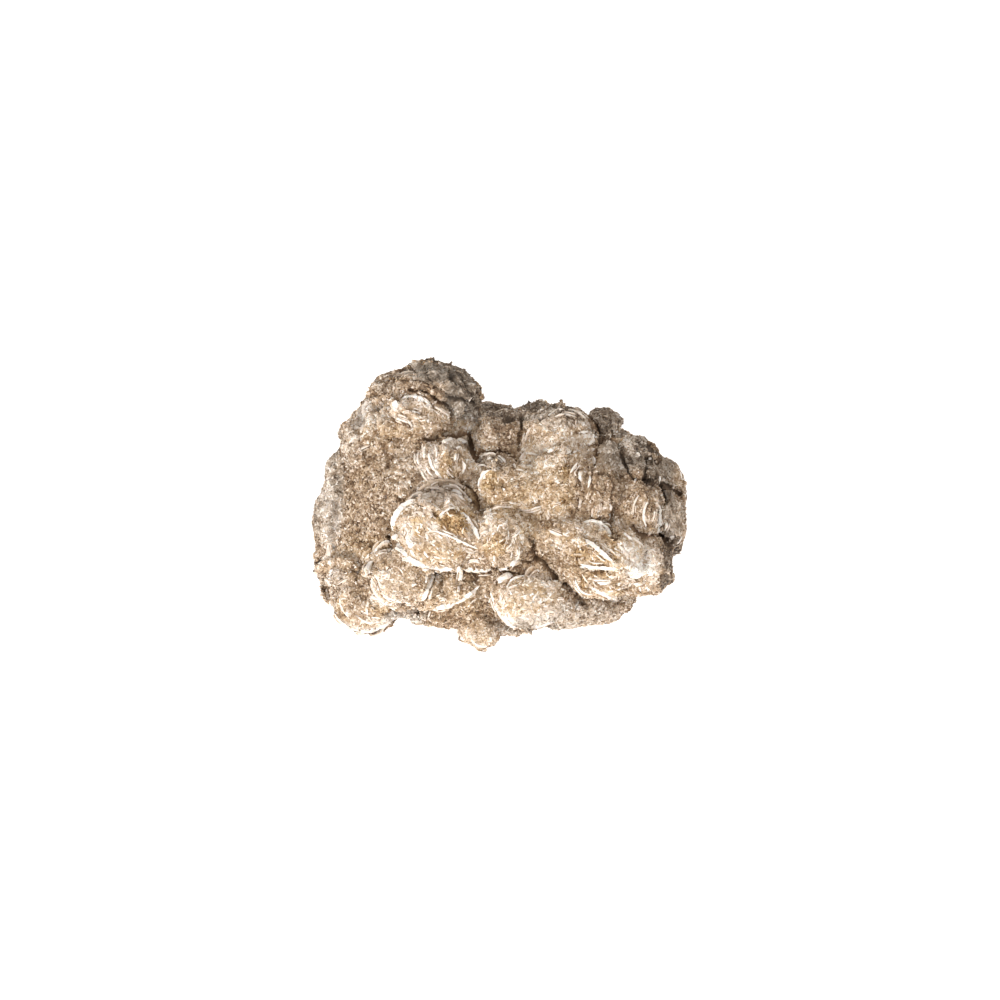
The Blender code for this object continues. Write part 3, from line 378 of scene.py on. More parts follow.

# Patches on the show face: (across, up), half sizes, how much lighter, and hue from -1 (grey)
# through 0 (sand and cream) to 1 (honey). Besides the stone's own tone and hue they hold painted
# light and shade: the darker grey patches on the right rim and the knob, which face away from
# the light, are partly painted shade, and the lighter patches in the hollows by the crown, comb
# and cheek are painted light over the shade that falls there.
PATCHES = (
    (-10, -3.6, 4, 2.8, -0.27, 1), (-18.6, -3.6, 1.4, 1, -0.1, 1), (-19, -6.4, 1, 1.1, -0.12, 1),
    (-15, -11.5, 5.5, 2.4, -0.08, 0.35), (-14.5, 3.4, 6, 2.2, 0, -0.35),
    (-0.5, -9.6, 2.8, 2.4, -0.02, 0.7), (-2, 6, 1.8, 2.6, -0.08, 0.8), (8, -20, 4, 2.6, 0.08, 0.25),
    (2, -23, 2.4, 4.4, 0.16, 0), (24.4, -12.4, 3.4, 1.4, 0, 0.6),
    (19.6, -11.5, 1.7, 1.1, -0.22, 0.9), (25, -16.3, 2.8, 0.8, -0.14, 0.6),
    (20.3, -18.7, 0.9, 1.8, -0.14, 0.7), (28, -20.3, 2.2, 1.3, -0.14, 0.6),
    (16.3, 8, 1, 2, -0.16, 0.8), (-12.4, 9.4, 1.7, 3.2, -0.04, 0.4),
    (-28, -24.8, 3.4, 1.8, -0.04, 0.4), (-37, -23.4, 1.4, 2.4, -0.02, 0.3),
    (-6, -24.2, 2.8, 2.6, -0.08, 0.3), (3, 1.5, 7, 5, 0, 0.35), (16.5, 1.5, 1.6, 1.1, -0.2, 0.6),
    (41.6, 7.4, 3, 4, 0.02, 0), (-21.6, -6.6, 1.8, 3.6, 0.16, 0), (-18.6, -1.6, 2.6, 1.6, 0.18, 0),
    (-15.6, -5, 1.8, 1.8, 0.2, 0), (12, -27.6, 8, 1.8, 0.06, -0.3),
    (7.5, -27.8, 3.5, 1.6, -0.1, 0.1), (33, -14.6, 5.4, 6, 0.22, 0),
    (33.8, -16.1, 2.8, 1.3, 0.3, 0), (32.4, -18.8, 1.6, 0.8, 0.3, 0),
    (39.6, -11.6, 2.6, 2.8, -0.34, -0.3), (42.6, -11, 1.6, 3.8, -0.24, -0.6),
    (40.6, -18.6, 1.8, 2.6, -0.3, -0.6), (-30, 19.5, 2, 3.6, 0.14, 0),
    (-9.8, 14.4, 3.2, 1.3, 0.12, -0.35), (-2, 11, 4, 1.4, -0.1, -0.4),
    (-21, 31.3, 2.8, 0.6, 0.16, -0.4), (7, -24.6, 6.5, 4.5, 0.1, 0.1), (11, 15, 7, 6.5, 0.22, 0.1),
    (21.4, 17.8, 2.6, 3.4, 0.28, 0), (-29.6, 22.4, 3.2, 3.6, 0.2, 0), (-26.4, -20, 5, 4, 0.24, 0),
    (-24, -12, 5, 1.8, 0.16, 0), (-34, -28.2, 7, 1.4, 0.2, 0), (-39.6, -12, 1.2, 3.6, 0.2, 0),
    (-40.6, -2, 3, 8, 0.12, 0), (14.6, -9, 4.8, 3.2, 0.16, 0.1), (22, -7, 5, 2.6, 0.14, 0.1),
    (30, -12, 4, 4.4, 0.18, 0), (-16.4, 9.6, 2.6, 5, 0.2, -0.3), (-24.6, 23, 3, 2.2, 0.14, 0),
    (-2.4, -3.6, 1.8, 2.6, 0.25, 0), (-8, -18, 4.6, 3.4, 0, 0.1), (-12, -26.6, 7, 1.8, -0.04, 0.1),
    (11, -6, 3.6, 5, -0.06, 0), (1, 16.6, 5, 3, -0.1, -0.1), (20.5, 4, 3, 3.4, -0.14, 0.1),
    (24.5, 5.5, 3, 3, -0.1, 0), (-15, 30, 11, 5.4, -0.18, -0.2), (-13.5, 32.4, 9, 3.2, 0, -0.9),
    (-8, 26.5, 4.6, 6, -0.2, -0.85), (-26, 29.5, 4, 3, 0.02, -0.4), (31, 14, 6, 6, -0.06, -0.7),
    (38, 10, 4, 6, -0.2, -0.7), (26, 20, 5, 4, -0.17, -0.7), (6, 22.5, 12, 2.4, -0.14, -0.7),
    (41, -2, 3, 7, -0.04, -0.6), (41, -12, 2.4, 4, -0.2, -0.5), (23, -12, 7.5, 7, -0.18, 0.2),
    (-40.5, 2, 4, 12, 0.15, -0.6), (-36, 14, 3, 6, 0.08, -0.3), (-28, 17, 5, 4, 0.12, 0.2),
    (-11, -21, 7, 4, 0.12, 0.15), (-31, -9.5, 5, 2.4, -0.05, 0.3), (-10.5, -19, 5, 3.5, 0.06, 0.2),
    (-19.6, -17, 5, 3.4, 0.06, 0.15), (12.6, 2.9, 6, 6, 0.06, 0.3), (-4.5, -31, 5, 3.4, 0.12, 0.1),
    (-14, -26.5, 9, 2, 0.02, 0.15), (33, 1, 4.6, 4.4, -0.08, 0), (-4.6, 14.8, 4, 7.4, 0.24, 0.1),
    (-15.6, -18.5, 2, 3.5, 0.22, 0), (-7, -17.6, 3.2, 2.6, -0.24, 0),
    (13, -5.4, 2.6, 2.4, -0.16, 0), (-27, -12.6, 2.4, 2, 0.1, 0), (28.8, -21.4, 3, 1.6, 0.3, -0.2),
    (-9.5, -26, 2.5, 2, -0.12, 0), (34.6, 17, 2.2, 2.2, -0.16, -0.5),
    (34.6, -18.6, 2.2, 2, -0.14, 0), (25.6, -12.8, 1.8, 2, -0.2, 0.2), (35.6, -13, 2.5, 3, 0.16, 0),
    (-34, 20, 2.5, 4, 0.14, 0), (-9.4, 21.5, 2.6, 2.6, 0.14, 0.3), (6, -4.6, 3, 2, 0.14, 0),
    (10, -28.6, 10, 2.2, 0, -0.7), (-6.5, 1.5, 2.5, 2.5, 0, 0.4), (-40.5, -17, 2, 3, -0.3, -0.3),
    (-26, 5.6, 3.4, 4.4, 0.1, 0), (7.4, 9.6, 3, 3, 0.16, 0.3), (1.4, -28.4, 3, 2.2, 0.18, -0.2),
    (-17.6, 27.6, 3.4, 1.2, -0.14, 0.1), (-22.4, 8.8, 2.4, 4.6, 0.28, 0),
    (30, 17, 2.6, 2.6, 0.36, -0.3), (-15.5, 4, 4, 2, 0.14, 0), (-5, 3.6, 2, 2.4, 0.16, 0),
    (4, -0.5, 3, 2, 0.14, 0), (21, 12, 2.5, 2.5, 0.14, 0), (-39, 8, 2.5, 3, -0.1, 0),
    (12.5, -18, 2.6, 2, 0.34, 0), (7.2, -6.6, 2.4, 3.6, 0.14, 0.4), (20, -25.6, 9, 3, 0.12, -0.4),
    (-22, -26.6, 5, 1.8, 0.24, -0.8), (-31, -30, 6, 1.2, 0, -0.5),
    (-38.4, -21.4, 2.6, 4, 0.16, -0.2), (26.6, 9.4, 4, 5, 0.1, 0), (16, 21, 5, 2.4, -0.14, -0.5),
    (8, 17.6, 2.6, 2.6, -0.22, 0), (16.4, 8.4, 2.6, 2.4, -0.1, 0), (31, -19, 4, 2, -0.26, 0),
    (-44, -4, 2, 8, -0.3, -0.4), (-33.6, 23, 3, 4.4, 0.08, -0.6), (28.6, -5, 5, 1.8, 0.2, 0),
    (-0.6, -8.6, 2.4, 2.4, -0.12, 0), (-8.6, 19.8, 4.5, 4, 0.18, 0), (-36, -14, 6, 5, 0.18, 0.1),
    (37, 13, 2, 3.4, -0.14, -0.3), (41.4, 0.4, 2, 4, 0.12, -0.2),
)

# Linear colours of the gypsum by lightness from 0 to 1: grey, sand and cream, honey.
TONES = (
    (0, (0.058, 0.045, 0.034), (0.08, 0.043, 0.022), (0.1, 0.05, 0.02)),
    (0.25, (0.195, 0.158, 0.122), (0.26, 0.167, 0.098), (0.3, 0.175, 0.075)),
    (0.5, (0.39, 0.34, 0.29), (0.485, 0.367, 0.258), (0.54, 0.37, 0.19)),
    (0.7, (0.59, 0.53, 0.47), (0.66, 0.54, 0.44), (0.7, 0.525, 0.335)),
    (0.85, (0.73, 0.665, 0.6), (0.77, 0.675, 0.585), (0.78, 0.655, 0.49)),
    (1, (0.85, 0.805, 0.75), (0.865, 0.815, 0.755), (0.86, 0.795, 0.68)),
)

# Noise over the crust: size of its features, offset and seed.
NOISE = {
    "coarse": (3.4, 0, 1),
    "middle": (1.8, 5, 2),
    "fine": (0.95, 9, 3),
    "painted_pit_shade": (0.75, 2, 5),
    "hidden_light": (8, 3, 21),
    "hidden_hue": (6, 0, 22),
    "hue": (1.6, 0, 23),
    "blotch": (1.5, 0, 24),
    "speck": (0.8, 0, 25),
    "shade": (2.4, 0, 26),
}
# Seeds of the ribs along the strokes, of random ways and of the slight spread of the colours.
RIB_SEED, WAY_SEED, SPREAD_SEED = 4, 50, 5


def show_point(across, up):
    return PIVOT + ACROSS * across + UP * up


def show_way(turn):
    """The direction on the show plane that lies turn radians from across."""
    return ACROSS * math.cos(turn) + UP * math.sin(turn)


def show_place(points):
    """(across, up) where the camera sees each point."""
    ray = points - EYE
    along = (PIVOT - EYE) @ OUT / (ray @ OUT)
    seen = EYE + ray * along[:, None] - PIVOT
    return np.stack([seen @ ACROSS, seen @ UP], 1)


def unit(vectors):
    return vectors / np.maximum(np.linalg.norm(vectors, axis=-1, keepdims=True), 1e-9)


def square_to(ways, normals):
    """The unit directions nearest to ways that are square to the normals."""
    return unit(ways - (ways * normals).sum(1)[:, None] * normals)


def across_normals(normals, rng):
    """A random unit direction square to each normal."""
    return square_to(rng.normal(size=normals.shape), normals)


def smooth_step(share):
    share = np.clip(share, 0.0, 1.0)
    return share * share * (3.0 - 2.0 * share)


def in_ellipse(places, across, up, half_across, half_up):
    """Each place as a share of the ellipse's half sizes, from its middle."""
    return (places - (across, up)) / (half_across, half_up)


def lattice(points, seed):
    """Smooth noise from -1 to 1 with features one unit across."""
    table = np.random.default_rng(seed).uniform(-1.0, 1.0, (NOISE_CELLS,) * 3)
    base = np.floor(points).astype(int)
    part = points - base
    part = part * part * (3.0 - 2.0 * part)
    total = np.zeros(len(points))
    for corner in np.ndindex(2, 2, 2):
        weight = np.ones(len(points))
        for axis, high in enumerate(corner):
            weight *= part[:, axis] if high else 1.0 - part[:, axis]
        index = (base + corner) % NOISE_CELLS
        total += weight * table[index[:, 0], index[:, 1], index[:, 2]]
    return total


def lattice_vectors(points):
    return np.stack([lattice(points + 7.0 * i, WAY_SEED + i) for i in range(3)], 1)


def noise(points, name):
    size, offset, seed = NOISE[name]
    return lattice(points / size + offset, seed)


def interpolated(at, stops, rows):
    """The rows, which lie at stops, read off at other places between them."""
    return np.stack([np.interp(at, stops, rows[:, i]) for i in range(rows.shape[1])], 1)


def palette(tone, hue):
    """The linear colour at a lightness of 0 to 1 and a hue of -1 (grey) to 1 (honey)."""
    stops = [row[0] for row in TONES]
    greys, sands, honeys = (
        interpolated(tone, stops, np.array([row[family] for row in TONES])) for family in (1, 2, 3)
    )
    grey = np.clip(-hue, 0.0, 1.0)[:, None]
    honey = np.clip(hue, 0.0, 1.0)[:, None]
    return greys * grey + sands * (1.0 - grey - honey) + honeys * honey


def arrays_of(mesh):
    verts = np.empty(len(mesh.vertices) * 3, np.float32)
    mesh.vertices.foreach_get("co", verts)
    mesh.calc_loop_triangles()
    faces = np.empty(len(mesh.loop_triangles) * 3, np.int32)
    mesh.loop_triangles.foreach_get("vertices", faces)
    return verts.reshape(-1, 3).astype(float) / MM, faces.reshape(-1, 3)


def edges_of(faces):
    return np.concatenate([faces[:, [0, 1]], faces[:, [1, 2]], faces[:, [2, 0]]])


def normals_of(verts, faces):
    a, b, c = (verts[faces[:, i]] for i in range(3))
    cross = np.cross(b - a, c - a)
    normals = np.zeros_like(verts)
    for corner in range(3):
        np.add.at(normals, faces[:, corner], cross)
    return unit(normals)


def copies(own, count, step):
    """The faces of count alike crystals, each of which has step vertices."""
    return (own[None] + (np.arange(count) * step)[:, None, None]).reshape(-1, 3)


def placed(name, data):
    """A new object in the scene."""
    obj = bpy.data.objects.new(name, data)
    bpy.context.scene.collection.objects.link(obj)
    return obj


def piece(name, verts, faces, tone, hue, material, smooth=False):
    """A new mesh piece from arrays in millimetres. Its UV map is laid out by lightness and hue, as
    the palette is."""
    mesh = bpy.data.meshes.new(name)
    mesh.vertices.add(len(verts))
    mesh.vertices.foreach_set("co", (verts * MM).astype(np.float32).ravel())
    mesh.loops.add(faces.size)
    mesh.loops.foreach_set("vertex_index", faces.astype(np.int32).ravel())
    mesh.polygons.add(len(faces))
    mesh.polygons.foreach_set("loop_start", np.arange(len(faces), dtype=np.int32) * 3)
    mesh.update()
    spread = np.random.default_rng(SPREAD_SEED).uniform(-1.0, 1.0, (2, len(verts)))
    tone = np.clip(tone + 0.02 * spread[0], 0.01, 0.99)
    hue = np.clip(hue + 0.05 * spread[1], -0.98, 0.98)
    colour = np.ones((len(verts), 4), np.float32)
    colour[:, :3] = palette(tone, hue)
    layer = mesh.color_attributes.new("tint", "FLOAT_COLOR", "POINT")
    layer.data.foreach_set("color", colour.ravel())
    flat = np.stack([tone, (hue + 1.0) / 2.0], 1)[faces.ravel()]
    mesh.uv_layers.new(name="OFBake").data.foreach_set("uv", flat.astype(np.float32).ravel())
    mesh.polygons.foreach_set("use_smooth", np.full(len(mesh.polygons), smooth))
    mesh.materials.append(material)
    return placed(name, mesh)


def to_line(places, line):
    """Distance of each place from a line of points, and which side of it (1 is to its left)."""
    away = np.full(len(places), 1e9)
    side = np.ones(len(places))
    for first, second in zip(line, line[1:]):
        along = second - first
        off = places - first
        share = np.clip(off @ along / (along @ along), 0.0, 1.0)
        here = np.linalg.norm(off - share[:, None] * along, axis=1)
        nearer = here < away
        away[nearer] = here[nearer]
        side[nearer] = np.sign(along[0] * off[nearer, 1] - along[1] * off[nearer, 0])
    return away, side


def curve_through(points, steps):
    """Evenly spaced points along a smooth curve through the given ones."""
    points = np.asarray(points, float)
    padded = np.concatenate([[2 * points[0] - points[1]], points, [2 * points[-1] - points[-2]]])
    dense = []
    for p0, p1, p2, p3 in zip(padded, padded[1:], padded[2:], padded[3:]):
        t = np.linspace(0.0, 1.0, 12, endpoint=False)[:, None]
        dense.append(
            0.5 * (2 * p1 + (p2 - p0) * t + (2 * p0 - 5 * p1 + 4 * p2 - p3) * t**2
                   + (3 * p1 - p0 - 3 * p2 + p3) * t**3)
        )
    dense = np.concatenate([*dense, points[-1:]])
    run = np.concatenate([[0.0], np.cumsum(np.linalg.norm(np.diff(dense, axis=0), axis=1))])
    return interpolated(np.linspace(0.0, run[-1], steps), run, dense)


def smoothed(values, rounds):
    for _ in range(rounds):
        inner = (values[:-2] + 2 * values[1:-1] + values[2:]) / 4
        values = np.concatenate([values[:1], inner, values[-1:]])
    return values


def largest_part(verts, faces):
    """The mesh without the loose specks that remeshing leaves at thin tips."""
    label = np.arange(len(verts))
    edges = edges_of(faces)
    while True:
        least = np.minimum(label[edges[:, 0]], label[edges[:, 1]])
        after = label.copy()
        np.minimum.at(after, edges[:, 0], least)
        np.minimum.at(after, edges[:, 1], least)
        after = after[after]
        if (after == label).all():
            break
        label = after
    kept = label == np.bincount(label).argmax()
    used, faces = np.unique(faces[kept[faces[:, 0]]], return_inverse=True)
    return verts[used], faces.reshape(-1, 3)


class Crust:
    """The solid's surface, remeshed finely and roughened, with what grows where on it."""

    def __init__(self, solid, rng):
        self.verts, self.faces = self.remeshed(solid)
        self.look_up()
        self.places = show_place(self.verts)
        self.facing = smooth_step((self.normals @ OUT + 0.1) / 0.4) * self.seen_share()
        self.lay_roses()
        self.lay_patches()
        self.roughen(rng)
        self.look_up()

    def look_up(self):
        """The normals and the search tree of the vertices as they now are."""
        self.normals = normals_of(self.verts, self.faces)
        self.tree = BVHTree.FromPolygons(self.verts.tolist(), self.faces.tolist())

    def remeshed(self, solid):
        helper = solid.copy()
        helper.data = solid.data.copy()
        bpy.context.scene.collection.objects.link(helper)
        helper.parent = None
        remesh = helper.modifiers.new("cells", "REMESH")
        remesh.mode = "VOXEL"
        remesh.voxel_size = CRUST_CELL * MM
        bpy.context.view_layer.update()
        graph = bpy.context.evaluated_depsgraph_get()
        mesh = bpy.data.meshes.new_from_object(helper.evaluated_get(graph))
        bpy.data.objects.remove(helper)
        verts, faces = arrays_of(mesh)
        bpy.data.meshes.remove(mesh)
        verts, faces = largest_part(verts, faces)
        edges = edges_of(faces)
        count = np.bincount(edges.ravel(), minlength=len(verts)).astype(float)
        for _ in range(CRUST_SMOOTHING):
            total = np.zeros_like(verts)
            np.add.at(total, edges[:, 0], verts[edges[:, 1]])
            np.add.at(total, edges[:, 1], verts[edges[:, 0]])
            verts = verts * (1.0 - CRUST_PULL) + total / count[:, None] * CRUST_PULL
        return verts, faces

    def seen_share(self):
        """How much of each vertex's neighbourhood the camera sees, from 0 to 1."""
        seen = np.ones(len(self.verts))
        eye = Vector(EYE)
        toward = self.verts - EYE
        reach = np.linalg.norm(toward, axis=1)
        for index, way in enumerate((toward / reach[:, None]).tolist()):
            hit = self.tree.ray_cast(eye, way)[3]
            if hit is not None and hit < reach[index] - HIDDEN_BEHIND:
                seen[index] = 0.0
        edges = edges_of(self.faces)
        count = np.bincount(edges.ravel(), minlength=len(seen))
        for _ in range(HIDDEN_SMOOTHING):
            total = np.bincount(edges[:, 0], seen[edges[:, 1]], len(seen))
            total += np.bincount(edges[:, 1], seen[edges[:, 0]], len(seen))
            seen = 0.4 * seen + 0.6 * total / count
        return seen

    def seen_at(self, across, up):
        """(place, normal) on the crust behind a point of the show plane, or None."""
        toward = show_point(across, up) - EYE
        place, normal, _, _ = self.tree.ray_cast(Vector(EYE), Vector(toward).normalized())
        return None if place is None else (np.array(place), np.array(normal))

    def vertex_near(self, place):
        return self.faces[self.tree.find_nearest(Vector(place))[2], 0]

    def lay_roses(self):
        """Each vertex's waxiness, and the way the strokes run there (its strongest rosette's)."""
        self.wax = np.zeros(len(self.verts))
        self.way = unit(np.cross(self.normals, lattice_vectors(self.verts / 6.0)))
        self.side_roses = []
        best = np.zeros(len(self.verts))
        for *ellipse, waxy, grain, _ in ROSES.values():
            off = in_ellipse(self.places, *ellipse)
            share = smooth_step(1.9 * (1.22 - np.linalg.norm(off, axis=1))) * self.facing
            self.wax = np.maximum(self.wax, waxy * share)
            self.run_with(show_way(math.radians(grain)), share, best)
        for compass, height, radius in SIDE_ROSES:
            turn = math.radians(compass)
            toward = Vector((math.cos(turn), math.sin(turn), 0.0))
            start = Vector((0.0, 0.0, height)) + toward * OUTSIDE
            place = np.array(self.tree.ray_cast(start, -toward)[0])
            self.side_roses.append((place, radius))
            share = smooth_step(1.9 * (1.2 - np.linalg.norm(self.verts - place, axis=1) / radius))
            share *= 1.0 - 0.8 * self.facing
            self.wax = np.maximum(self.wax, 0.6 * share)
            self.run_with(unit(lattice_vectors(place[None] / 3.0)), share, best)

    def run_with(self, way, share, best):
        """Lays the strokes along way where share beats the best so far."""
        nearer = share > np.maximum(best, 0.05)
        best[nearer] = share[nearer]
        self.way[nearer] = square_to(way, self.normals[nearer])

    def lay_patches(self):
        """How much lighter each vertex is, painted light and shade included, and its hue."""
        light, hue = np.zeros((2, len(self.verts)))
        for *ellipse, lighter, tint in PATCHES:
            share = smooth_step(1.6 - (in_ellipse(self.places, *ellipse) ** 2).sum(1)) * self.facing
            # Some patches add painted light and some painted shade, besides the stone's own tone.
            light += share * lighter
            hue = np.where(np.abs(share * tint) > np.abs(hue), share * tint, hue)
        hidden = 1.0 - self.facing
        light += hidden * (0.12 * noise(self.verts, "hidden_light") + 0.1 * self.wax)
        hue += hidden * np.clip(0.7 * noise(self.verts, "hidden_hue"), -0.3, 0.6)
        blotch = 0.8 * noise(self.verts, "blotch") + 0.5 * noise(self.verts, "speck")
        self.light = np.maximum(light, DARKEST) + 0.24 * self.wax * blotch
        self.light += 0.07 * noise(self.verts, "shade")
        warm = np.clip(0.6 + hue, 0.0, 1.0)
        honey = np.clip(-blotch - 0.08, 0.0, 0.8) * self.wax * warm
        self.hue = hue + 0.09 + 0.14 * noise(self.verts, "hue") + honey

    def roughen(self, rng):
        """Moves the vertices out to the finished crust, and gives each its lightness, painted shade
        and light included.
        """
        verts, normals, wax = self.verts, self.normals, self.wax
        plain = 1.0 - wax
        fine, middle = noise(verts, "fine"), noise(verts, "middle")
        rough = (0.10 + 0.26 * plain) * noise(verts, "coarse")
        rough += (0.05 + 0.24 * plain) * middle
        rough += (0.05 + 0.22 * plain) * fine
        radial = np.cross(normals, self.way)
        across, along = (verts * radial).sum(1) / 0.8, (verts * self.way).sum(1) / 3.0
        ribs = lattice(np.stack([across, along, np.zeros(len(verts))], 1) + 40.0, RIB_SEED)
        rough += 0.16 * wax * ribs
        # self.light brings in the patches, painted light and shade among them.
        tone = 0.28 + 0.14 * wax + 0.8 * self.light
        # Painted shade: dark specks, with no hollow sunk under them, stand for shaded little
        # hollows in the sand.
        tone -= 0.2 * plain * smooth_step(-2.6 * noise(verts, "painted_pit_shade") - 0.5)
        # The noise that raises the crust also lightens it, so grains and ribs are lighter where
        # they stand up and darker in the dips: partly the sand's own mottling, partly painted
        # shade.
        tone += (0.08 + 0.09 * plain) * fine + 0.05 * middle + 0.10 * wax * ribs
        tone += (0.03 + 0.09 * plain) * rng.normal(size=len(verts))
        front = smooth_step(normals @ OUT / 0.3)
        self.step_edges(rough, tone, front)
        cut = self.cut_crevices(rough, front)
        for *ellipse, height in LIFTS:
            off = in_ellipse(self.places, *ellipse)
            rough += height * smooth_step(1.5 - (off**2).sum(1)) * front
        self.cut = cut
        # Painted shade: the crust is darkened in the crevices, where shadow falls.
        self.tone = tone * (1.0 - CREVICE_PAINTED_SHADE * cut)
        self.verts = verts + normals * rough[:, None]
        self.verts[:, 2] = np.maximum(self.verts[:, 2], 0.0)

    def near_curve(self, points, margin):
        """The curve through points, and the vertices near it with their distance and side."""
        line, corners = curve_through(points, 3 * len(points)), np.array(points)
        low, high = corners.min(0) - margin, corners.max(0) + margin
        near = np.nonzero(((self.places > low) & (self.places < high)).all(1))[0]
        return line, near, *to_line(self.places[near], line)

    def step_edges(self, rough, tone, front):
        """Raises and frosts the crust inside each broad line of EDGES, and sinks it outside, with
        painted shade on the crust just outside the line.
        """
        for name, group in EDGES.items():
            centre = np.array(ROSES[name][:2])
            for width, _, white, *points in group:
                if width < LEAST_STEPPED:
                    continue
                line, near, away, side = self.near_curve(points, 3.0)
                inner = side * to_line(centre[None], line)[1][0] > 0
                fade = front[near]
                step = np.where(inner, 0.3 * np.exp(-away / 1.5), -np.exp(-((away / 0.95) ** 2)))
                rough[near] += 1.1 * (width - 0.2) * step * fade
                # Painted shade in the groove just outside the line, where the raised rim's shadow
                # falls.
                painted_shade = -0.3 * np.exp(-((away / 0.8) ** 2))
                tone[near] += np.where(inner, 0.22 * np.exp(-away / 0.8), painted_shade) * fade * white

    def cut_crevices(self, rough, front):
        """Sinks the crust along CREVICES, and returns how much each vertex is in one."""
        cut = np.zeros(len(rough))
        for half_width, depth, *points in CREVICES:
            _, near, away, _ = self.near_curve(points, 2.0)
            here = smooth_step(1.35 - away / half_width) * front[near]
            rough[near] -= depth * here
            cut[near] = np.maximum(cut[near], here)
        return cut

    def sample(self, count, rng, least_height):
        """Random (places, normals, vertex indexes), even by area but closer on the show face."""
        a, b, c = (self.verts[self.faces[:, i]] for i in range(3))
        area = np.linalg.norm(np.cross(b - a, c - a), axis=1)
        area *= 1.0 + 0.6 * self.facing[self.faces[:, 0]]
        face = rng.choice(len(self.faces), count, p=area / area.sum())
        u, v = rng.random((2, count))
        flip = u + v > 1
        u[flip], v[flip] = 1 - u[flip], 1 - v[flip]
        place = a[face] + (b[face] - a[face]) * u[:, None] + (c[face] - a[face]) * v[:, None]
        index = self.faces[face, 0]
        keep = (place[:, 2] > least_height) & (self.cut[index] < 0.4)
        return place[keep], self.normals[index[keep]], index[keep]


def on_crust(crust, points, rounds):
    """The nearest line on the crust, smoothed by rounds, and its normals."""
    near = [crust.tree.find_nearest(Vector(point)) for point in points]
    line = smoothed(np.array([place for place, _, _, _ in near]), rounds)
    return line, unit(smoothed(np.array([normal for _, normal, _, _ in near]), 4))


def make_crust(crust, material):
    """The crust in two pieces, which keeps each one light."""
    left = crust.verts[crust.faces].mean(1)[:, 0] < CRUST_SEAM
    halves = []
    for name, part in (("crust_left", left), ("crust_right", ~left)):
        used, faces = np.unique(crust.faces[part], return_inverse=True)
        faces = faces.reshape(-1, 3)
        tone, hue = crust.tone[used], crust.hue[used]
        halves.append(piece(name, crust.verts[used], faces, tone, hue, material, smooth=True))
    return halves


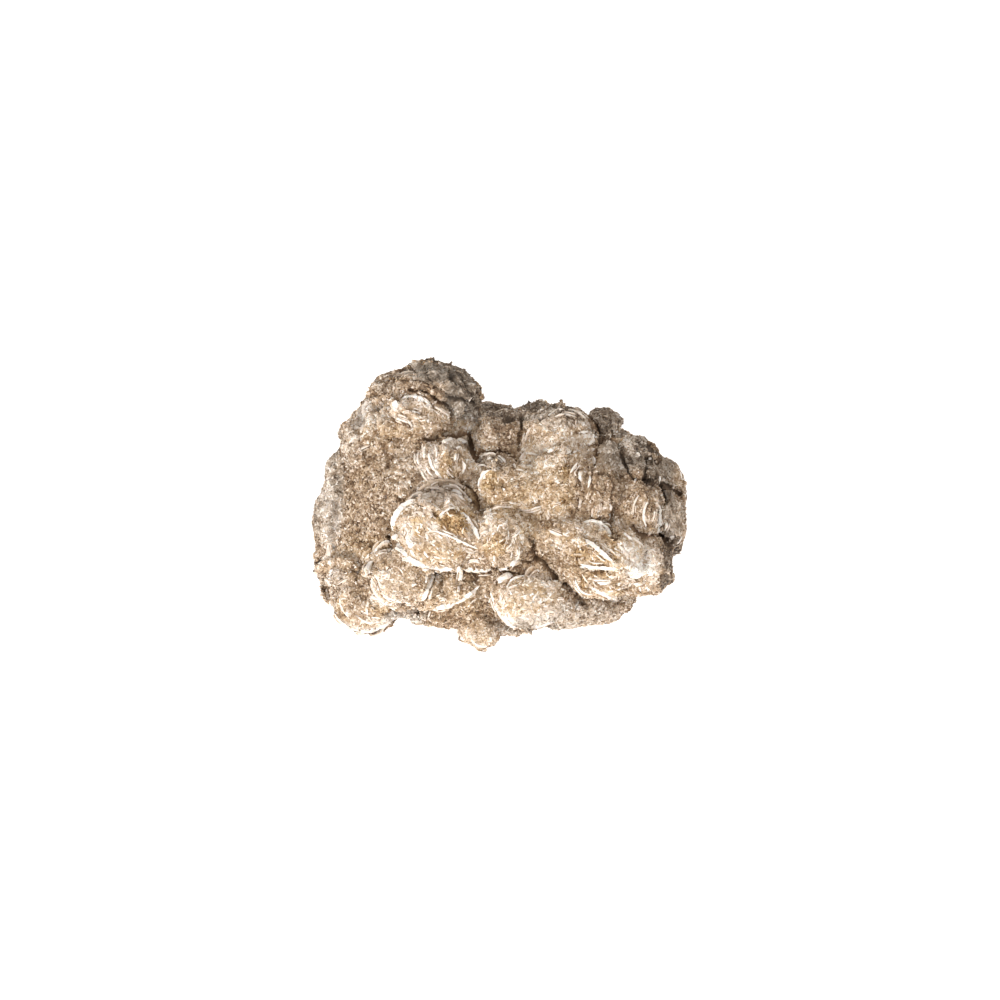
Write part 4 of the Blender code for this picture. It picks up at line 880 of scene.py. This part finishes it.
class Blades:
    """Collects blades: thin crystals whose edge follows a line on the crust."""

    # A blade's section: which of its top, middle and foot each corner is at, and how far out.
    SECTION = ((0, 0.75), (1, 1.1), (2, 0.9), (2, -0.9), (1, -1.1), (0, -0.75))

    def __init__(self):
        self.verts, self.faces, self.tone, self.hue = [], [], [], []
        self.size = 0

    def add(self, line, normals, width, height, white, body, hue, lean, rng):
        """line is the edge's foot on the crust, with the crust's normal at each point."""
        steps = len(line)
        share = np.linspace(0.0, 1.0, steps)
        lens = np.clip(1.0 - (2 * share - 1) ** 2, 0.0, 1.0) ** 0.5
        rise = height * (lens * 1.2 - 0.2) * (1.0 + 0.3 * rng.uniform(-1, 1, steps))
        half = width * 0.5 * np.clip(lens * 1.2, 0.15, 1.0)
        half = (half * (1.0 + 0.3 * rng.uniform(-1, 1, steps)))[:, None]
        tangent = unit(np.gradient(line, axis=0))
        side = unit(np.cross(tangent, normals))
        top = line + normals * rise[:, None] - side * (lean * rise)[:, None]
        foot = line - normals * (0.7 + 0.3 * height) + side * (lean * (height + 0.7))
        levels = (top, top * 0.6 + foot * 0.4, foot)
        rings = np.stack([levels[level] + side * half * out for level, out in self.SECTION], 1)
        rings += rng.uniform(-1, 1, rings.shape) * min(0.09, 0.14 * width)
        # The foot corners are darker than the body: painted shade where the blade goes down into
        # the crust.
        ring_tone = np.array([white, body, body - 0.15, body - 0.15, body, white])
        rim_hue = min(hue, 0.0) * min(1.2 * (1.05 - white), 1.0)
        ring_hue = np.array([rim_hue, hue, hue, hue, hue, rim_hue])
        count = len(self.SECTION)
        index = np.arange(steps * count).reshape(steps, count) + self.size
        following = np.roll(index, -1, axis=1)
        quads = [index[:-1], following[:-1], following[1:], index[1:]]
        quads = np.stack(quads, -1).reshape(-1, 4)
        faces = [quads[:, [0, 2, 1]], quads[:, [0, 3, 2]]]
        caps = []
        for step in range(1, count - 1):
            caps.append((index[0, 0], index[0, step], index[0, step + 1]))
            caps.append((index[-1, 0], index[-1, step + 1], index[-1, step]))
        self.verts.append(rings.reshape(-1, 3))
        self.faces.append(np.concatenate([*faces, caps]))
        jitter = 0.09 * rng.uniform(-1, 1, (steps, count))
        self.tone.append((ring_tone[None, :] + jitter).ravel())
        self.hue.append(np.tile(ring_hue, steps))
        self.size += steps * count

    def add_layered(self, crust, line, normals, width, height, white, hue, rng):
        """A blade with a few thinner, shorter ones alongside."""
        lean = rng.uniform(-0.3, 0.3)
        self.add(line, normals, width, height, white, 0.8 * white, hue, lean, rng)
        length = np.linalg.norm(np.diff(line, axis=0), axis=1).sum()
        last, index = len(line) - 1, np.arange(len(line))
        for _ in range(int(length * 0.5 * min(width * 1.6, 1.0)) + 1):
            span = min(length, rng.uniform(1.4, 4.0))
            start = rng.uniform(0.0, length - span) / max(length, 0.1) * last
            at = start + np.linspace(0.0, span / max(length, 0.1) * last, 6)
            part = interpolated(at, index, line)
            own = unit(interpolated(at, index, normals))
            side = unit(np.cross(unit(np.gradient(part, axis=0)), own))
            part = part + side * rng.normal() * (0.3 + 0.5 * width)
            foot, _ = on_crust(crust, part, 0)
            afloat = np.linalg.norm(part - foot, axis=1) > AFLOAT
            part = smoothed(np.where(afloat[:, None], foot, part), 2)
            thin, low = rng.uniform(0.18, 0.34), height * rng.uniform(0.4, 0.85)
            pale = white - rng.uniform(0.0, 0.2)
            self.add(part, own, thin, low, pale, 0.62, hue, rng.uniform(-0.5, 0.5), rng)

    def done(self, name, material):
        arrays = (np.concatenate(part) for part in (self.verts, self.faces, self.tone, self.hue))
        return piece(name, *arrays, material)


def unbroken(seen, reach):
    """The runs of (place, normal) pairs that hold together, cut where a step is over reach."""
    runs = [[]]
    for pair in seen:
        if runs[-1] and np.linalg.norm(pair[0] - runs[-1][-1][0]) > reach:
            runs.append([])
        runs[-1].append(pair)
    return [run for run in runs if len(run) >= 4]


def make_edges(crust, material, rng):
    """The blades of the show face, each where EDGES lays it out."""
    blades = Blades()
    for group in EDGES.values():
        for width, height, white, *points in group:
            if not height:
                continue
            length = sum(math.dist(a, b) for a, b in zip(points, points[1:]))
            steps = int(np.clip(length / 0.5, 7, 34))
            seen = [crust.seen_at(*place) for place in curve_through(points, steps)]
            for run in unbroken([pair for pair in seen if pair], 4.0 * length / steps):
                line = smoothed(np.array([place for place, _ in run]), 3)
                normals = np.array([normal for _, normal in run]) * 0.5 + OUT * 0.5
                normals = unit(smoothed(normals, 6))
                middle = crust.vertex_near(line[len(line) // 2])
                hue = float(np.clip(crust.hue[middle] * 1.5 + 0.1, -0.9, 0.6))
                line = line + BLADE_LIFT * normals
                size = (width * BLADE_WIDTH, height * BLADE_HEIGHT)
                blades.add_layered(crust, line, normals, *size, white, hue, rng)
    return blades.done("edge_blades", material)


class Petals:
    """Collects petals: round, lens-shaped crystals sunk edge-on in the crust, so an arc shows."""

    SIDES = 14

    def __init__(self):
        self.verts, self.tone, self.hue = [], [], []

    def add(self, place, stand, way, radius, sunk, tone, hue, rng):
        """stand is the way the arc points, and way is along its edge."""
        way = unit(way - (way @ stand) * stand)
        thick = np.cross(way, stand)
        centre = place - stand * radius * sunk
        angle = np.arange(self.SIDES) * 2.0 * math.pi / self.SIDES + rng.uniform(0, 1)
        flat = np.cos(angle)[:, None] * way + np.sin(angle)[:, None] * stand * 0.92
        ragged = radius * (1.0 + 0.07 * rng.uniform(-1, 1, (self.SIDES, 1)))
        rim = centre + flat * ragged
        blunt = thick * (0.03 * radius + 0.03)
        shoulder = centre + flat * ragged * 0.8
        swell = thick * (0.10 * radius + 0.06)
        middles = [centre + swell * 1.3, centre - swell * 1.3]
        rings = [rim + blunt, rim - blunt, shoulder + swell, shoulder - swell]
        self.verts.append(np.concatenate([*rings, middles]))
        rims = tone + 0.08 * rng.uniform(-1, 1, 2 * self.SIDES)
        body = tone - 0.24 + 0.06 * rng.uniform(-1, 1, 2 * self.SIDES + 2)
        self.tone.append(np.concatenate([rims, body]))
        rims = np.full(2 * self.SIDES, 0.5 * min(hue, 0.0))
        self.hue.append(np.concatenate([rims, np.full(2 * self.SIDES + 2, hue)]))

    def done(self, name, material):
        n = self.SIDES
        near = np.arange(n)
        far = (near + 1) % n
        own = []
        for low, high, flip in ((0, n, True), (0, 2 * n, False), (n, 3 * n, True)):
            quad = np.stack([near + low, far + low, far + high, near + high], 1)
            quad = quad[:, ::-1] if flip else quad
            own += [quad[:, [0, 1, 2]], quad[:, [0, 2, 3]]]
        own.append(np.stack([near + 2 * n, far + 2 * n, np.full(n, 4 * n)], 1))
        own.append(np.stack([far + 3 * n, near + 3 * n, np.full(n, 4 * n + 1)], 1))
        faces = copies(np.concatenate(own), len(self.verts), 4 * n + 2)
        verts, tone, hue = (np.concatenate(part) for part in (self.verts, self.tone, self.hue))
        return piece(name, verts, faces, tone, hue, material)


def add_side_petals(petals, crust, centre, radius, rng):
    """The petals of a rosette of the hidden sides, fanned out round its middle."""
    _, normals = on_crust(crust, centre + rng.normal(size=(12, 3)) * radius * 0.3, 0)
    axis = unit(normals.mean(0))
    first = unit(np.cross(axis, rng.normal(size=3)))
    second = np.cross(axis, first)
    for turn in range(SIDE_PETALS):
        reach = math.sqrt(rng.uniform(0.02, 1.0))
        angle = 2.4 * turn + rng.uniform(-0.4, 0.4)
        radial = math.cos(angle) * first + math.sin(angle) * second
        found = crust.tree.find_nearest(Vector(centre + axis + radial * reach * radius))
        place, normal = np.array(found[0]), np.array(found[1])
        strayed = np.linalg.norm(place - centre) > 1.3 * radius or normal @ axis < 0.4
        if place[2] < PETAL_HEIGHT or strayed:
            continue
        if crust.facing[crust.vertex_near(place)] > 0.06 or place[2] < 3.5 and rng.random() < 0.5:
            continue
        stand = unit(normal * 0.8 + axis * 0.3 + radial * reach * rng.uniform(0.2, 0.9))
        along = np.cross(axis, radial) + first * rng.normal() * 0.35 + second * rng.normal() * 0.35
        size, sunk = rng.uniform(1.2, 2.8) * (0.6 + 0.4 * reach), rng.uniform(0.62, 0.88)
        tip = Vector(place + stand * size * (1.1 - sunk))
        if crust.tree.ray_cast(tip, Vector(EYE - tip).normalized())[0] is None:
            continue
        ends = [Vector(place + unit(along) * size * way) for way in (-0.8, 0.8)]
        if max(crust.tree.find_nearest(end)[3] for end in ends) > 0.35 * size:
            continue
        tone, hue = rng.uniform(0.66, 0.95), rng.uniform(0.2, 0.7)
        petals.add(place, stand, along, size, sunk, tone, hue, rng)


def make_petals(crust, material, rng):
    """The petals: those of the rosettes of the hidden sides, and small ones on the show face."""
    petals = Petals()
    for centre, radius in crust.side_roses:
        add_side_petals(petals, crust, centre, radius, rng)
    for across, up, half_across, half_up, _, grain, count in ROSES.values():
        turn = math.radians(grain)
        for _ in range(count):
            angle, reach = rng.uniform(0, 2 * math.pi), math.sqrt(rng.uniform(0.05, 0.95))
            off = (half_across * reach * math.cos(angle), half_up * reach * math.sin(angle))
            seen = crust.seen_at(across + off[0], up + off[1])
            if seen is None:
                continue
            place, normal = seen
            index = crust.vertex_near(place)
            if crust.wax[index] < 0.35 or normal @ OUT < 0.35:
                continue
            radial = unit(ACROSS * off[0] + UP * off[1])
            stand = unit(normal + 0.5 * OUT + radial * reach * rng.uniform(0.0, 0.5))
            ring = np.cross(OUT, radial) * reach * rng.choice((-1, 1))
            along = show_way(turn) * (1.2 - reach) + ring
            tone = max(np.clip(crust.tone[index] + rng.uniform(0.12, 0.35), 0.3, 0.95), 0.6)
            along = along + 0.4 * rng.normal(size=3)
            size, sunk = rng.uniform(0.8, 1.6), rng.uniform(0.68, 0.88)
            petals.add(place, stand, along, size, sunk, tone, crust.hue[index], rng)
    return petals.done("petals", material)


def make_loose_blades(crust, material, rng):
    """Short blades all over the crust, running round the rosettes."""
    blades = Blades()
    place, normal, index = crust.sample(LOOSE_BLADES, rng, LOOSE_BLADE_HEIGHT)
    keep = rng.random(len(index)) < 0.25 + crust.wax[index]
    place, normal, index = place[keep], normal[keep], index[keep]
    wax, light, hue = crust.wax[index], crust.light[index], crust.hue[index]
    way = unit(crust.way[index] + across_normals(normal, rng) * (1.4 - 1.0 * wax)[:, None])
    t = np.linspace(-0.5, 0.5, 6)[:, None]
    for i in range(len(place)):
        length = rng.gamma(4.0, 0.25) * (0.6 + 1.3 * wax[i]) + 0.6
        bow = rng.uniform(-0.14, 0.14) * length
        sideways = np.cross(normal[i], way[i])
        guess = place[i] + way[i] * t * length + sideways * bow * (0.25 - t**2) * 4
        line, own = on_crust(crust, guess, 2)
        own = unit(own * 0.5 + normal[i] * 0.5)
        dull = wax[i] * np.clip(-hue[i], 0.0, 0.6) * 0.8
        # Whiteness follows the patches' lightness, painted light and shade included.
        white = 0.68 + 0.24 * wax[i] + 0.4 * light[i] - dull + 0.1 * rng.normal()
        white = np.clip(white, 0.3, 1.0)
        width, height, lean = rng.uniform(0.24, 0.5), rng.uniform(0.15, 0.4), rng.uniform(-0.8, 0.8)
        blades.add(line, own, width, height, white, white - 0.15, hue[i], lean, rng)
    return blades.done("loose_blades", material)


def make_plates(name, crust, material, rng, count, flat):
    """Small angular crystals: shards that show a flat face, or wedges that show a crest."""
    place, normal, index = crust.sample(count, rng, PLATE_HEIGHT)
    slick = 1.4 * np.clip(-0.3 - crust.hue[index], 0.0, 0.5)
    keep = rng.random(len(index)) > (0.25 + slick) * crust.wax[index]
    place, normal, index = place[keep], normal[keep], index[keep]
    count = len(place)
    wax = crust.wax[index][:, None]
    chance = rng.random((5, count, 1))
    way = unit(crust.way[index] + across_normals(normal, rng) * (1.8 - 0.8 * wax))
    side = np.cross(normal, way)
    sway = side * rng.normal(size=(count, 1)) * 0.55
    stand = unit(normal + sway + way * rng.normal(size=(count, 1)) * 0.3)
    way = square_to(way, stand)
    thick = np.cross(way, stand)
    length = (0.24 + 0.3 * chance[0] ** 1.5) * (1.0 + 0.9 * wax)
    reach = way * length
    if flat:
        top = place + stand * (0.1 + 0.12 * chance[1])
        broad = thick * (0.2 + 0.22 * chance[2]) * (1.0 + 0.4 * wax)
        back = reach * (0.2 + 0.7 * chance[3])
        corners = [top + reach, top - back + broad, top - back * 0.6 - broad, place - normal * 0.5]
    else:
        broad = thick * (0.26 + 0.2 * chance[2])
        crest = place + stand * (0.12 + 0.2 * chance[1])
        slope = stand * (chance[3] - 0.5) * 0.3
        foot = place - stand * 0.3 + way * (chance[4] - 0.5) * length
        corners = [crest + reach + slope, crest - reach - slope, foot + broad, foot - broad]
    own = np.array([(0, 1, 2), (1, 0, 3), (0, 2, 3), (2, 1, 3)])
    faces = copies(own[:, ::-1] if flat else own, count, len(corners))
    draw = rng.random(count)
    bright, usual = rng.uniform(0.12, 0.38, count), rng.uniform(-0.08, 0.12, count)
    shift = np.where(draw < 0.3, bright, usual)
    shift = np.where(draw > 0.84, rng.uniform(-0.22, -0.08, count), shift)
    shift *= 1.0 - crust.wax[index] * 1.2 * np.clip(-crust.hue[index], 0.0, 0.6)
    # base starts from the crust's tone, which holds its painted shade and light.
    base = crust.tone[index] + 0.07 + shift
    edge = base + (0.0 if flat else 0.08)
    tone = np.stack([edge, edge, base, base], 1).ravel()
    hue = crust.hue[index][:, None] - 0.3 * wax * np.maximum(shift, 0.0)[:, None]
    verts = np.stack(corners, 1).reshape(-1, 3)
    return piece(name, verts, faces, tone, np.repeat(hue, len(corners), 1).ravel(), material)


def make_chips(crust, material, rng):
    """Four-sided chips and sand grains held in the crust."""
    place, _, index = crust.sample(CHIPS, rng, CHIP_HEIGHT)
    keep = rng.random(len(index)) > 0.8 * crust.wax[index]
    place, index = place[keep], index[keep]
    count = len(place)
    shape = np.array([(1, 1, 1), (1, -1, -1), (-1, 1, -1), (-1, -1, 1)]) / math.sqrt(3.0)
    axes = np.linalg.qr(rng.normal(size=(count, 3, 3)))[0]
    axes[np.linalg.det(axes) < 0] *= -1.0
    size = rng.uniform(0.2, 0.4, (count, 1, 1))
    corners = place[:, None] + np.einsum("kc,ncd->nkd", shape, axes) * size
    faces = copies(np.array([(0, 1, 2), (0, 2, 3), (0, 3, 1), (1, 3, 2)]), count, len(shape))
    # The chips start from the crust's tone, which holds its painted shade and light.
    tone = crust.tone[index] + 0.04 + 0.17 * rng.normal(size=count)
    hue = crust.hue[index] + 0.2 * rng.normal(size=count)
    tone, hue = np.repeat(tone, len(shape)), np.repeat(hue, len(shape))
    return piece("chips", corners.reshape(-1, 3), faces, tone, hue, material)


def set_inputs(node, values):
    for name, value in values.items():
        node.inputs[name].default_value = value


def surface(name, values):
    """A new material whose shader's sockets are set to values, and that shader."""
    material = bpy.data.materials.new(name)
    material.use_nodes = True
    shader = material.node_tree.nodes["Principled BSDF"]
    set_inputs(shader, values)
    return material, shader


def gypsum(name, roughness, waxy, bump, bump_size):
    """Gypsum coloured by the piece's own tint, with fine bump of bump_size millimetres."""
    material, shader = surface(name, {
        "Roughness": roughness,
        "Specular IOR Level": 0.35,
        "Subsurface Weight": waxy,
        "Subsurface Radius": (1.0, 0.7, 0.45),
        "Subsurface Scale": 0.3 * MM,
    })
    nodes, links = material.node_tree.nodes, material.node_tree.links
    tint = nodes.new("ShaderNodeAttribute")
    tint.attribute_name = "tint"
    links.new(tint.outputs["Color"], shader.inputs["Base Color"])
    where = nodes.new("ShaderNodeTexCoord")
    grain = nodes.new("ShaderNodeTexNoise")
    set_inputs(grain, {"Scale": 1.0 / (bump_size * MM), "Detail": 3.0, "Roughness": 0.65})
    links.new(where.outputs["Object"], grain.inputs["Vector"])
    raised = nodes.new("ShaderNodeBump")
    set_inputs(raised, {"Strength": bump, "Distance": 0.2 * MM})
    links.new(grain.outputs["Fac"], raised.inputs["Height"])
    links.new(raised.outputs["Normal"], shader.inputs["Normal"])
    return material


def make_floor():
    material, _ = surface("pale_floor", {
        "Base Color": (0.95, 0.95, 0.95, 1.0),
        "Roughness": 0.9,
        "Emission Color": (1.0, 1.0, 1.0, 1.0),
        "Emission Strength": 0.6,
    })
    bpy.ops.mesh.primitive_plane_add(size=6.0, location=(0.0, 0.0, -0.0001))
    floor = bpy.context.active_object
    floor.name = "floor"
    floor.data.materials.append(material)


def make_camera():
    camera = bpy.data.cameras.new("camera")
    camera.lens = LENS
    camera.sensor_width = SENSOR_WIDTH
    camera.clip_start = 0.01
    camera.clip_end = 20.0
    holder = placed("camera", camera)
    turn = Matrix((ACROSS, UP, OUT)).transposed()
    holder.matrix_world = Matrix.Translation(Vector(EYE) * MM) @ turn.to_4x4()
    bpy.context.scene.camera = holder


def lamp(name, way, distance, size, watts, colour):
    """A round lamp that lies along way from PIVOT and faces it. distance and size are metres."""
    light = bpy.data.lights.new(name, "AREA")
    light.shape = "DISK"
    light.size = size
    light.energy = watts
    light.color = colour
    holder = placed(name, light)
    way = np.array(way) / np.linalg.norm(way)
    holder.location = Vector(PIVOT * MM + way * distance)
    holder.rotation_mode = "QUATERNION"
    holder.rotation_quaternion = Vector(way).to_track_quat("Z", "Y")


def make_light():
    key_way = -0.55 * ACROSS - 0.45 * UP + 0.68 * OUT
    fill_way = 0.3 * ACROSS + 0.1 * UP + 0.9 * OUT
    lamp("key", key_way, distance=1.3, size=0.5, watts=17.5, colour=(1.0, 0.99, 0.975))
    lamp("fill", fill_way, distance=1.6, size=1.0, watts=7.5, colour=(1.0, 0.995, 0.985))
    world = bpy.data.worlds.new("studio")
    world.use_nodes = True
    set_inputs(world.node_tree.nodes["Background"], {
        "Color": (1.0, 0.99, 0.98, 1.0),
        "Strength": 0.68,
    })
    bpy.context.scene.world = world
    bpy.context.scene.view_settings.view_transform = "Standard"


def main():
    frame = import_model()
    rng = np.random.default_rng(SEED)
    sandy = gypsum("sandy_gypsum", roughness=0.8, waxy=0.12, bump=0.6, bump_size=0.5)
    frosty = gypsum("frosted_gypsum", roughness=0.45, waxy=0.15, bump=0.2, bump_size=0.4)
    crust = Crust(frame["nodes"]["sand_rose"], rng)
    halves = make_crust(crust, sandy)
    for half in halves:
        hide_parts("sand_rose")
    made = [
        *halves,
        make_edges(crust, frosty, rng),
        make_petals(crust, frosty, rng),
        make_loose_blades(crust, frosty, rng),
        make_plates("shards", crust, frosty, rng, SHARDS, flat=True),
        make_plates("wedges", crust, frosty, rng, WEDGES, flat=False),
        make_chips(crust, sandy, rng),
    ]
    for obj in made:
        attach(obj, "root")
    make_floor()
    make_camera()
    make_light()


main()
